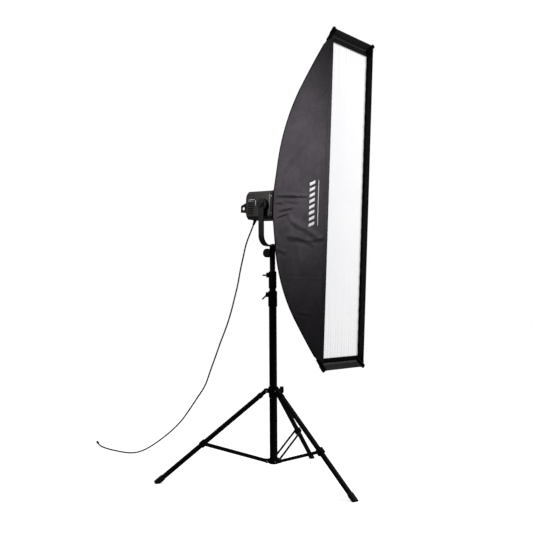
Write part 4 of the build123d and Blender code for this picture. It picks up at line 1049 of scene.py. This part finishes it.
    def stripes(self, side: Side) -> bpy.types.Object:
        """A plain mark of slanted stripes with a thin rule beside it."""
        work = bmesh.new()
        bars = [(305.0, 33.0, -111.0 + 24.5 * n, 13.0, 9.0) for n in range(8)]
        bars.append((358.0, 3.0, -108.0, 188.0, 0.0))
        for start, width, low, height, slant in bars:

            def place(
                a: float, b: float, box=(start, width, low, height, slant)
            ) -> tuple[float, float, float]:
                up = box[2] + box[3] * b + box[4] * a
                depth = (box[0] + box[1] * a - self.rear) / cos(self.slant)
                return self.on_side(side, depth, up, self.relief(side, depth, up) + 0.35)

            bar = skin(8, max(4, int(height / 4)), place, None, (side.value, 0, 0))
            mesh = bpy.data.meshes.new("bar")
            bar.to_mesh(mesh)
            bar.free()
            work.from_mesh(mesh)
            bpy.data.meshes.remove(mesh)
        piece = settled(work, f"{side.name.lower()}_side_stripes", AIM, "softbox", Finish.PRINT)
        return thickened(piece, 0.25)

    def end_panel(self, end: End) -> bpy.types.Object:
        """A narrow end, bent over its two rods and drawn in a little between them."""
        low, high = self.rear_half_height, self.front_half_height

        def place(a: float, b: float) -> tuple[float, float, float]:
            up, across = low + (high - low) * b, 2 * a - 1
            slack = (1 - across * across) * sin(pi * min(1.0, b * 1.02))
            wave = noise.noise(Vector((across * 1.3, up / 90, end.value * 5.0)))
            lift = -5.0 * slack + 1.6 * wave * (1 - across ** 4)
            pull = sin(up / 9.0 + 3 * noise.noise(Vector((up / 60, end.value, 0))))
            lift += 0.5 * pull * abs(across) ** 3 * (1 - across ** 8)
            return self.on_end(end, across, up, lift)

        def cut(a: float, b: float) -> tuple[float, float]:
            return (2 * a - 1) * self.front_half_width * MM, b * 0.76

        work = skin(56, 150, place, cut, (0, 1, end.value))
        node = f"{end.name.lower()}_panel"
        piece = thickened(
            settled(work, f"{end.name.lower()}_end_cloth", AIM, "softbox", Finish.FABRIC, [node]), self.fabric
        )
        length, area, steps = 0.0, 0.0, 120
        for n in range(steps):
            a = Vector(self.on_end(end, 1.0, low + (high - low) * n / steps))
            b = Vector(self.on_end(end, 1.0, low + (high - low) * (n + 1) / steps))
            run = (b.yz - a.yz).length
            length, area = length + run, area + run * (a.x + b.x)
        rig.sheet(
            piece, flat=(2 * self.front_half_width * MM, length * MM), held="stretched",
            rests_on=["rods", "speed_ring"], area=area * MM * MM, with_pieces=[self.end_hem(end)],
        )
        return piece

    def end_hem(self, end: End) -> bpy.types.Object:
        """The hem along an end's front edge, turned in round the lip."""

        def place(a: float, b: float) -> tuple[float, float, float]:
            across, over = 2 * b - 1, a * 2 * self.hem - self.hem
            roll = max(0.0, 1 - abs(over) / 2.4)
            up = self.front_half_height - abs(over) * 0.72 + 0.8
            lift = (0.9 if over < 0 else -self.fabric - 0.9) * (1 - roll) - roll * 0.7
            return self.on_end(end, across * 0.995, min(up, self.front_half_height + 0.8), lift)

        def cut(a: float, b: float) -> tuple[float, float]:
            return a * 2 * self.hem * MM, b * 2 * self.front_half_width * MM

        work = skin(18, 90, place, cut, (0, -1, 0.2 * end.value))
        return thickened(settled(work, f"{end.name.lower()}_front_hem", AIM, "softbox", Finish.HEM), 0.7)

    def piping(self, side: Side, end: End) -> bpy.types.Object:
        """Bound tape over one corner seam, from the ring to the pocket."""
        low, high = self.rear_half_height - 2, self.front_half_height - 52

        def place(a: float, b: float) -> tuple[float, float, float]:
            up = low + (high - low) * b
            turn = 2 * pi * a
            out = Vector(self.on_side(side, self.seam(up), up, 0.0))
            raised = Vector(self.on_end(end, side.value, up, 1.0))
            other = raised - Vector(self.on_end(end, side.value, up, 0.0))
            face = Vector(self.on_side(side, 0, 0, 1.0)) - Vector(self.on_side(side, 0, 0, 0.0))
            crown = 2.1 * (1 + 0.08 * noise.noise(Vector((up / 9, side.value, end.value))))
            spread = 4.6
            middle = Vector((out.x, out.y, end.value * up)) - (other + face) * 0.8
            return middle + face * (crown * cos(turn) + 0.6) + other * (spread * sin(turn) * 0.72 + 0.2)

        def cut(a: float, b: float) -> tuple[float, float]:
            return a * 0.018, b * 0.74

        work = skin(14, 220, place, cut)
        name = f"seam_tape_{side.name.lower()}_{end.name.lower()}"
        return settled(work, name, AIM, "softbox", Finish.LINING)

    def pocket(self, side: Side, end: End) -> bpy.types.Object:
        """The doubled pocket over a rod's end, with its rounded tip past the corner."""
        reach, wide = 62.0, 27.0

        def place(a: float, b: float) -> tuple[float, float, float]:
            up = self.front_half_height - reach * 0.68 * (1 - b) + 1.5
            up = min(up, self.front_half_height - 0.6)
            seam, turn = self.seam(up), 2 * a - 1
            if turn < 0:
                depth = min(seam + wide * -turn, self.panel_depth + 0.5)
                point = Vector(self.on_side(side, depth, up, 2.0))
                point.z *= end.value
            else:
                half = self.rear_half_width + seam * sin(self.slant)
                point = Vector(self.on_end(end, side.value * (1 - turn * wide / half), up, 2.0))
            return point

        work = skin(24, 18, place, None, None)
        name = f"pocket_{side.name.lower()}_{end.name.lower()}"
        shell = thickened(settled(work, name, AIM, "softbox", Finish.POCKET), 1.2)
        tip = Stock(AIM)
        corner = Vector(self.on_side(side, self.panel_depth - 7, self.front_half_height - 7, -3.5))
        heading = Vector((side.value * 0.22, -0.70, 0.68)).normalized()
        start, finish = corner - heading * 20, corner + heading * 15
        for point in (start, finish):
            point.z *= end.value
        tip.drum(8.5, start, finish, 3.6, 28, 7.0)
        tip.done(f"pocket_tip_{side.name.lower()}_{end.name.lower()}", "softbox", Finish.POCKET, ())
        return shell

    def rear_collar(self) -> bpy.types.Object:
        """The cloth that closes the box round the ring."""

        def place(a: float, b: float) -> tuple[float, float, float]:
            turn = 2 * pi * a
            x, z = cos(turn), sin(turn)
            square = 1 / max(abs(x) / (self.rear_half_width - 0.5), abs(z) / (self.rear_half_height - 0.5))
            radius = (self.ring_radius + 0.8) * (1 - b) + square * b
            ripple = 0.35 * sin(turn * 22) * sin(pi * b)
            return (x * radius, -(self.rear - 1.2 + ripple), z * radius)

        def cut(a: float, b: float) -> tuple[float, float]:
            return cos(2 * pi * a) * (0.057 + 0.02 * b), sin(2 * pi * a) * (0.057 + 0.02 * b)

        work = skin(192, 6, place, cut, (0, 1, 0))
        cloth = settled(work, "rear_collar_cloth", AIM, "softbox", Finish.LINING, ["rear_collar"])
        piece = thickened(cloth, 1.0)
        width, height = 2 * self.rear_half_width - 1, 2 * self.rear_half_height - 1
        area = width * height - pi * (self.ring_radius + 0.8) ** 2
        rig.sheet(
            piece, flat=(width * MM, height * MM), held="stretched", rests_on=["speed_ring"],
            area=max(area, 0.31 * width * height) * MM * MM,
        )
        return piece

    def diffuser(self) -> bpy.types.Object:
        """The white front cloth, gathered along its two short ends; its faint glow is painted light."""
        at = self.front - self.recess
        depth = (at - self.rear) / cos(self.slant)
        half = self.rear_half_width + depth * sin(self.slant) - 3.2
        height = self.cloth_half_height

        def place(a: float, b: float) -> tuple[float, float, float]:
            x, up = half * (2 * a - 1), height * (2 * b - 1)
            near_end = height - abs(up)
            gather = exp(-near_end / (150.0 if up < 0 else 60.0))
            wander = 3.0 * noise.noise(Vector((x / 30, up / 260, 2.0)))
            wave = sin(x / 2.7 + wander) * 1.1 * gather
            wave += 0.5 * sin(x / 7.5 + up / 240 + wander) * exp(-near_end / 260.0)
            belly = 3.0 * (1 - (2 * a - 1) ** 2) * min(1.0, near_end / 120)
            side_pull = 0.5 * sin(up / 8.0 + wander) * exp(-(half - abs(x)) / 9.0)
            return (x, -(at + belly + wave + side_pull), up)

        def cut(a: float, b: float) -> tuple[float, float]:
            return (2 * a - 1) * half * MM, (2 * b - 1) * height * MM

        work = skin(150, 200, place, cut, (0, -1, 0))
        piece = thickened(settled(work, "front_cloth", AIM, "softbox", Finish.WHITE, ["front_diffuser"]), 0.6)
        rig.sheet(
            piece,
            flat=(2 * half * MM, 2 * height * MM),
            held="stretched",
            rests_on=["left_side_cloth", "right_side_cloth"],
            with_pieces=[self.border()],
        )
        return piece

    def border(self) -> bpy.types.Object:
        """The black fastening strip between the white cloth and the walls."""
        at = self.front - self.recess
        depth = (at - self.rear) / cos(self.slant)
        half = self.rear_half_width + depth * sin(self.slant)

        def place(a: float, b: float) -> tuple[float, float, float]:
            share = (a * 4) % 4
            side = int(floor(share)) % 4
            t = share - floor(share)
            inner, outer = (half - 5.0, self.tape_heights[0]), (half - 1.4, self.tape_heights[1])
            reach = (inner[0] + (outer[0] - inner[0]) * b, inner[1] + (outer[1] - inner[1]) * b)
            corner = [(-1, -1), (1, -1), (1, 1), (-1, 1)]
            (x0, z0), (x1, z1) = corner[side], corner[(side + 1) % 4]
            x, z = (x0 + (x1 - x0) * t) * reach[0], (z0 + (z1 - z0) * t) * reach[1]
            ruck = 0.7 * noise.noise(Vector((x / 11, z / 17, b)))
            return (x, -(at + 3.2 + 2.5 * (1 - b) + ruck), z)

        def cut(a: float, b: float) -> tuple[float, float]:
            return a * 3.2, b * 0.02

        work = skin(480, 3, place, cut, (0, -1, 0))
        return thickened(settled(work, "front_cloth_border", AIM, "softbox", Finish.LINING), 1.0)

    def inner_baffle(self) -> bpy.types.Object:
        """The smaller white cloth halfway down the box; it takes the same painted glow."""
        depth = (self.baffle - self.rear) / cos(self.slant)
        half = self.rear_half_width + depth * sin(self.slant) - 20.0
        height = self.rear_half_height + 300.0

        def place(a: float, b: float) -> tuple[float, float, float]:
            x, up = half * (2 * a - 1), height * (2 * b - 1)
            sag = 6 * (1 - (2 * a - 1) ** 2) * (1 - (2 * b - 1) ** 2)
            return (x, -(self.baffle + sag + noise.noise(Vector((x / 40, up / 70, 9.0)))), up)

        def cut(a: float, b: float) -> tuple[float, float]:
            return (2 * a - 1) * half * MM, (2 * b - 1) * height * MM

        work = skin(40, 120, place, cut, (0, -1, 0))
        piece = thickened(settled(work, "baffle_cloth", AIM, "softbox", Finish.WHITE, ["inner_baffle"]), 0.6)
        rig.sheet(piece, flat=(2 * half * MM, 2 * height * MM), held="stretched", rests_on=["rods"])
        return piece

    def build(self, frame: dict) -> None:
        """Makes every cloth piece of the box and dresses its rods and ring."""
        for side in Side:
            self.side_panel(side)
        for end in End:
            self.end_panel(end)
        for side in Side:
            for end in End:
                self.piping(side, end)
                self.pocket(side, end)
        self.rear_collar()
        self.diffuser()
        self.inner_baffle()
        dress(frame, Finish.ROD, "rods")
        dress(frame, Finish.RING, "speed_ring", "bayonet_insert")
        dress(frame, Finish.POCKET, "corner_caps")


# ------------------------------------------------------------------ lamp
@dataclass
class LampHead:
    """The lamp's shell, controls and the yoke that carries it."""

    half_width: float = 60.0
    half_height: float = 64.0
    rear_face: float = -115.0
    dial: tuple[float, float] = (30.0, 24.0)
    dial_radius: float = 11.0
    switch: tuple[float, float] = (30.0, -12.0)
    display: tuple[float, float] = (-28.0, 18.0)

    def side_bands(self) -> None:
        """A raised vertical band ahead of the pivot on each side, coloured lighter as a painted highlight, and a
        shadow gap behind the bezel.
        """
        bands, gaps = Stock(AIM), Stock(AIM)
        for side in (-1, 1):
            bands.block((1.6, 7.5, 92.0), (side * (self.half_width + 0.3), -33.4, 0), 0.5)
            gaps.block((1.2, 1.0, 100.0), (side * (self.half_width + 0.1), 62.0, -6), 0.2)
            gaps.block((1.2, 78.0, 1.0), (side * (self.half_width + 0.1), 60.0, 47.0), 0.2)
        bands.done("side_bands", "lamp", Finish.BAND)
        gaps.done("side_seams", "lamp", Finish.TRIM)

    def side_marks(self) -> None:
        """Two plain printed rules on each side, toward the rear, and ahead of them a short upright light bar that is a
        painted highlight.
        """
        stock = Stock(AIM)
        for side in (-1, 1):
            stock.block((0.5, 38.0, 2.2), (side * self.half_width, 74.0, 25.5), 0.1)
            stock.block((0.5, 30.0, 1.2), (side * self.half_width, 78.0, 18.5), 0.1)
            # This upright bar in the print's colour is a painted highlight.
            stock.block((0.5, 2.6, 22.0), (side * self.half_width, 48.0, 10.0), 0.1)
        stock.done("side_rules", "lamp", Finish.MARK)

    def rear_controls(self) -> None:
        """Scale round the dial, lit bars in the display and its frame."""
        face = -self.rear_face + 0.2
        scale = Stock(AIM)
        for n in range(13):
            turn = radians(-150 + 25 * n)
            x = self.dial[0] + (self.dial_radius + 3.2) * sin(turn)
            z = self.dial[1] + (self.dial_radius + 3.2) * cos(turn)
            long = 2.6 if n % 3 == 0 else 1.5
            scale.block((0.6, 0.4, long), (x, face, z), 0.08, Matrix.Rotation(turn, 4, "Y"))
        scale.block((14.0, 0.4, 0.6), (self.switch[0], face, self.switch[1] - 12.5), 0.08)
        scale.done("control_scale", "lamp", Finish.MARK)
        lit = Stock(AIM)
        for n, height in enumerate((4.0, 6.5, 9.0, 11.5)):
            across, up = self.display[0] - 7.5 + 4.4 * n, self.display[1] - 6 + height / 2
            lit.block((2.4, 0.3, height), (across, face + 1.8, up), 0.1)
        lit.block((3.0, 0.3, 3.0), (self.display[0] + 9.0, face + 1.8, self.display[1] + 4.5), 0.1)
        lit.done("display_bars", "lamp", Finish.LIT)
        frame = Stock(AIM)
        for x, z, wide, tall in (
            (0, 11.4, 29.5, 1.8),
            (0, -11.4, 29.5, 1.8),
            (14.2, 0, 1.8, 24.0),
            (-14.2, 0, 1.8, 24.0),
        ):
            centre = (self.display[0] + x, face + 0.5, self.display[1] + z)
            frame.block((wide, 1.6, tall), centre, 0.4)
        frame.done("display_frame", "lamp", Finish.TRIM)
        pointer = Stock(AIM)
        pointer.block((1.0, 0.5, 6.0), (self.dial[0], -self.rear_face + 12.4, self.dial[1] + 5.5), 0.15)
        pointer.done("dial_pointer", "dial", Finish.MARK)

    def bezel_screws(self) -> None:
        """Countersunk screws in the bezel's top, bottom and sides."""
        stock = Stock(AIM)
        for side in (-1, 1):
            for z in (-38.0, 38.0):
                x = side * (self.half_width + 0.8)
                stock.drum(2.4, (x - side * 0.4, -44.5, z), (x + side * 0.5, -44.5, z), 0.25, 24)
        for x in (-30.0, 30.0):
            for end in (-1, 1):
                z = end * (self.half_height + 0.8)
                stock.drum(2.4, (x, -44.5, z - end * 0.4), (x, -44.5, z + end * 0.5), 0.25, 24)
        stock.done("bezel_screws", "lamp", Finish.SCREW)

    def build(self, frame: dict) -> None:
        """Adds the lamp's small parts and dresses the rest."""
        self.side_bands()
        self.side_marks()
        self.rear_controls()
        self.bezel_screws()
        dress(frame, Finish.SHELL, "lamp_housing", "rear_cover")
        dress(frame, Finish.TRIM, "front_bezel", "rear_grip", "pivot_discs", "pivot_bolt", "mount_latch")
        dress(frame, Finish.SCREW, "rear_screws", "yoke_bolt")
        dress(frame, Finish.DISPLAY, "status_display")
        dress(frame, Finish.DIAL, "dimmer_dial", "power_switch")
        dress(frame, Finish.FIN, "heatsink")
        dress(frame, Finish.FAN, "fan_frame", "fan_rotor")
        dress(frame, Finish.BOARD, "led_module")
        dress(frame, Finish.DOME, "glass_dome")
        dress(frame, Finish.CORD, "cord_gland")
        dress(frame, Finish.YOKE, "yoke")
        dress(frame, Finish.CAST, "yoke_adapter")
        dress(frame, Finish.KNOB, "adapter_knob", "tilt_knob")


# ------------------------------------------------------------------ stand
@dataclass
class Stand:
    """The sliding column and the three folding legs."""

    azimuths: tuple[float, float, float] = (137.4, 257.4, 17.4)
    pivot_radius: float = 33.0
    collar_height: float = 395.0
    leg_angle: float = 51.184
    leg_radius: float = 11.0
    sleeve_start: float = 27.0
    foot_length: float = 42.0

    def leg_frame(self, azimuth: float) -> Matrix:
        """An open leg's frame, its +Z running down the leg."""
        return (
            Matrix.Rotation(radians(azimuth), 4, "Z")
            @ Matrix.Translation((self.pivot_radius, 0, self.collar_height))
            @ Matrix.Rotation(radians(180 - self.leg_angle), 4, "Y")
        )

    def leg_trim(self) -> None:
        """A moulded sleeve at the top of each leg and ribs round its foot."""
        length = self.collar_height / cos(radians(self.leg_angle))
        for n, azimuth in enumerate(self.azimuths, 1):
            place = self.leg_frame(azimuth)
            sleeve = Stock(place)
            start, end = (0, 0, self.sleeve_start), (0, 0, self.sleeve_start + 15)
            sleeve.drum(self.leg_radius + 1.4, start, end, 1.0, 44)
            sleeve.done(f"leg_sleeve_{n}", f"leg_{n}_body", Finish.CAST)
            ribs = Stock(place)
            for at in (0.16, 0.26, 0.36):
                along = (0, 0, length - self.foot_length * (1 - at))
                ribs.ring(self.leg_radius + 2.1, 0.7, along, (0, 0, 1), 40, 8)
            ribs.done(f"foot_ribs_{n}", f"leg_{n}_body", Finish.FOOT)

    def column_trim(self) -> None:
        """Seals where each tube leaves the clamp below it."""
        for name, body, radius, height in (
            ("lower_seal", "base", 15.4, 843.0),
            ("upper_seal", "middle", 12.9, 931.5),
        ):
            seal = Stock().ring(radius + 1.3, 1.0, (0, 0, height + 0.1), (0, 0, 1), 56, 10)
            seal.done(name, body, Finish.FOOT)

    def build(self, frame: dict) -> None:
        """Adds the trim and dresses the stand."""
        self.leg_trim()
        self.column_trim()
        numbers = (1, 2, 3)
        dress(frame, Finish.TUBE, "base_tube", "middle_tube", "top_tube", *(f"leg_{n}" for n in numbers))
        castings = ("base_hub", "lower_clamp", "upper_clamp", "leg_collar")
        dress(frame, Finish.CAST, *castings, *(f"brace_clip_{n}" for n in numbers))
        dress(frame, Finish.KNOB, "lower_clamp_lever", "upper_clamp_lever", "collar_knob")
        dress(frame, Finish.BAR, *(f"brace_{n}" for n in numbers))
        dress(frame, Finish.RIVET, "brace_pins", "leg_pins", "spigot")
        dress(frame, Finish.FOOT, *(f"foot_{n}" for n in numbers))


# ------------------------------------------------------------------ studio
@dataclass
class Studio:
    """Camera, lights and the pale floor."""

    camera_place: tuple[float, float, float] = (-2739.6, -2247.2, 773.3)
    azimuth: float = -50.2
    elevation: float = -2.93
    roll: float = -0.34
    lens: float = 52.75
    surroundings: float = 0.1
    sun_from: tuple[float, float, float] = (-0.1, 0.5, 3.0)
    sun_power: float = 0.8
    spot_place: tuple[float, float, float] = (-1.55, 0.5, 2.15)
    spot_target: tuple[float, float, float] = (-0.1, -0.2, 1.4)
    spot_power: float = 200.0
    spot_cone: float = 33.0
    fill_place: tuple[float, float, float] = (1.8, -3.4, 2.6)
    fill_size: float = 2.0
    fill_power: float = 110.0
    floor_half: float = 60000.0
    floor_glow: float = 0.72

    def camera(self) -> None:
        """The viewing camera."""
        a, e, roll = radians(self.azimuth), radians(self.elevation), radians(self.roll)
        back = Vector((sin(a) * cos(e), -cos(a) * cos(e), sin(e)))
        right = Vector((cos(a), sin(a), 0))
        up = back.cross(right)
        across, above = right * cos(roll) + up * sin(roll), up * cos(roll) - right * sin(roll)
        data = bpy.data.cameras.new("view")
        data.lens, data.sensor_width = self.lens, 36.0
        data.clip_start, data.clip_end = 0.05, 200.0
        view = bpy.data.objects.new("view", data)
        turn = Matrix((across, above, back)).transposed().to_4x4()
        view.matrix_world = Matrix.Translation(Vector(self.camera_place) * MM) @ turn
        bpy.context.scene.collection.objects.link(view)
        bpy.context.scene.camera = view

    def lamp(self, name: str, place: Sequence[float], size: float, power: float) -> None:
        """A large soft light aimed at the middle of the rig, in metres and watts."""
        data = bpy.data.lights.new(name, "AREA")
        data.shape, data.size, data.energy = "DISK", size, power
        light = bpy.data.objects.new(name, data)
        way = Vector((0, 0, 1.2)) - Vector(place)
        light.matrix_world = Matrix.Translation(place) @ way.to_track_quat("-Z", "Y").to_matrix().to_4x4()
        light.visible_camera = False
        bpy.context.scene.collection.objects.link(light)

    def spot(self, place: Sequence[float], target: Sequence[float], power: float, cone: float) -> None:
        """A soft-edged pool of light on the box's side, in metres, watts and degrees."""
        data = bpy.data.lights.new("side_spot", "SPOT")
        data.energy, data.spot_size, data.spot_blend, data.shadow_soft_size = power, radians(cone), 1.0, 0.22
        light = bpy.data.objects.new("side_spot", data)
        way = Vector(target) - Vector(place)
        light.matrix_world = Matrix.Translation(place) @ way.to_track_quat("-Z", "Y").to_matrix().to_4x4()
        bpy.context.scene.collection.objects.link(light)

    def sky_panel(self, place: Sequence[float], power: float) -> None:
        """A wide even light over the whole studio, in metres and watts to a square metre."""
        data = bpy.data.lights.new("sky_panel", "SUN")
        data.energy, data.angle = power, radians(55)
        light = bpy.data.objects.new("sky_panel", data)
        light.matrix_world = (-Vector(place)).to_track_quat("-Z", "Y").to_matrix().to_4x4()
        bpy.context.scene.collection.objects.link(light)

    def floor(self) -> None:
        """A plain pale floor that adds no light of its own to the rig."""
        work = bmesh.new()
        bmesh.ops.create_grid(work, x_segments=2, y_segments=2, size=self.floor_half)
        r = Recipe("studio_floor")
        place = r.node("ShaderNodeTexCoord", output="Object")
        tone = r.mix(r.speckle(place, 3.0, 3.0), (0.93, 0.93, 0.93), (0.96, 0.96, 0.96))
        floor = r.finish(
            Base_Color=tone,
            Roughness=0.9,
            Specular=0.1,
            Emission_Color=tone,
            Emission_Strength=self.floor_glow,
        )
        bmesh.ops.transform(work, matrix=Matrix.Scale(MM, 4), verts=work.verts)
        mesh = bpy.data.meshes.new("floor")
        work.to_mesh(mesh)
        work.free()
        mesh.materials.append(floor)
        ground = bpy.data.objects.new("floor", mesh)
        ground.visible_diffuse = ground.visible_glossy = False
        bpy.context.scene.collection.objects.link(ground)
        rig.stage(ground)

    def build(self) -> None:
        """Sets the lights, the floor and the plain surroundings."""
        world = bpy.data.worlds.new("studio")
        world.use_nodes = True
        tree = world.node_tree
        sight = tree.nodes.new("ShaderNodeLightPath")
        level = tree.nodes.new("ShaderNodeMapRange")
        level.inputs["To Min"].default_value = self.surroundings
        level.inputs["To Max"].default_value = 1.0
        tree.links.new(sight.outputs["Is Camera Ray"], level.inputs["Value"])
        tree.links.new(level.outputs[0], tree.nodes["Background"].inputs["Strength"])
        tree.nodes["Background"].inputs["Color"].default_value = (1.0, 1.0, 1.0, 1.0)
        scene = bpy.context.scene
        scene.world = world
        scene.view_settings.view_transform = "Standard"
        self.sky_panel(self.sun_from, self.sun_power)
        self.spot(self.spot_place, self.spot_target, self.spot_power, self.spot_cone)
        self.lamp("fill", self.fill_place, self.fill_size, self.fill_power)
        self.floor()


def main() -> None:
    """Builds the whole rig in order and keeps its sizes."""
    logging.basicConfig(level=logging.INFO, format="%(message)s")
    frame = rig.load()
    plain = [list(corner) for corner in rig.bounds()]
    studio = Studio()
    studio.camera()
    Lead().build()
    StripBox().build(frame)
    LampHead().build(frame)
    Stand().build(frame)
    studio.build()
    bpy.context.view_layer.update()
    sizes = {"plain": plain, "finished": [list(corner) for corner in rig.bounds()]}
    with open("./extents.json", "w") as kept:
        json.dump(sizes, kept)


if __name__ == "__main__":
    main()
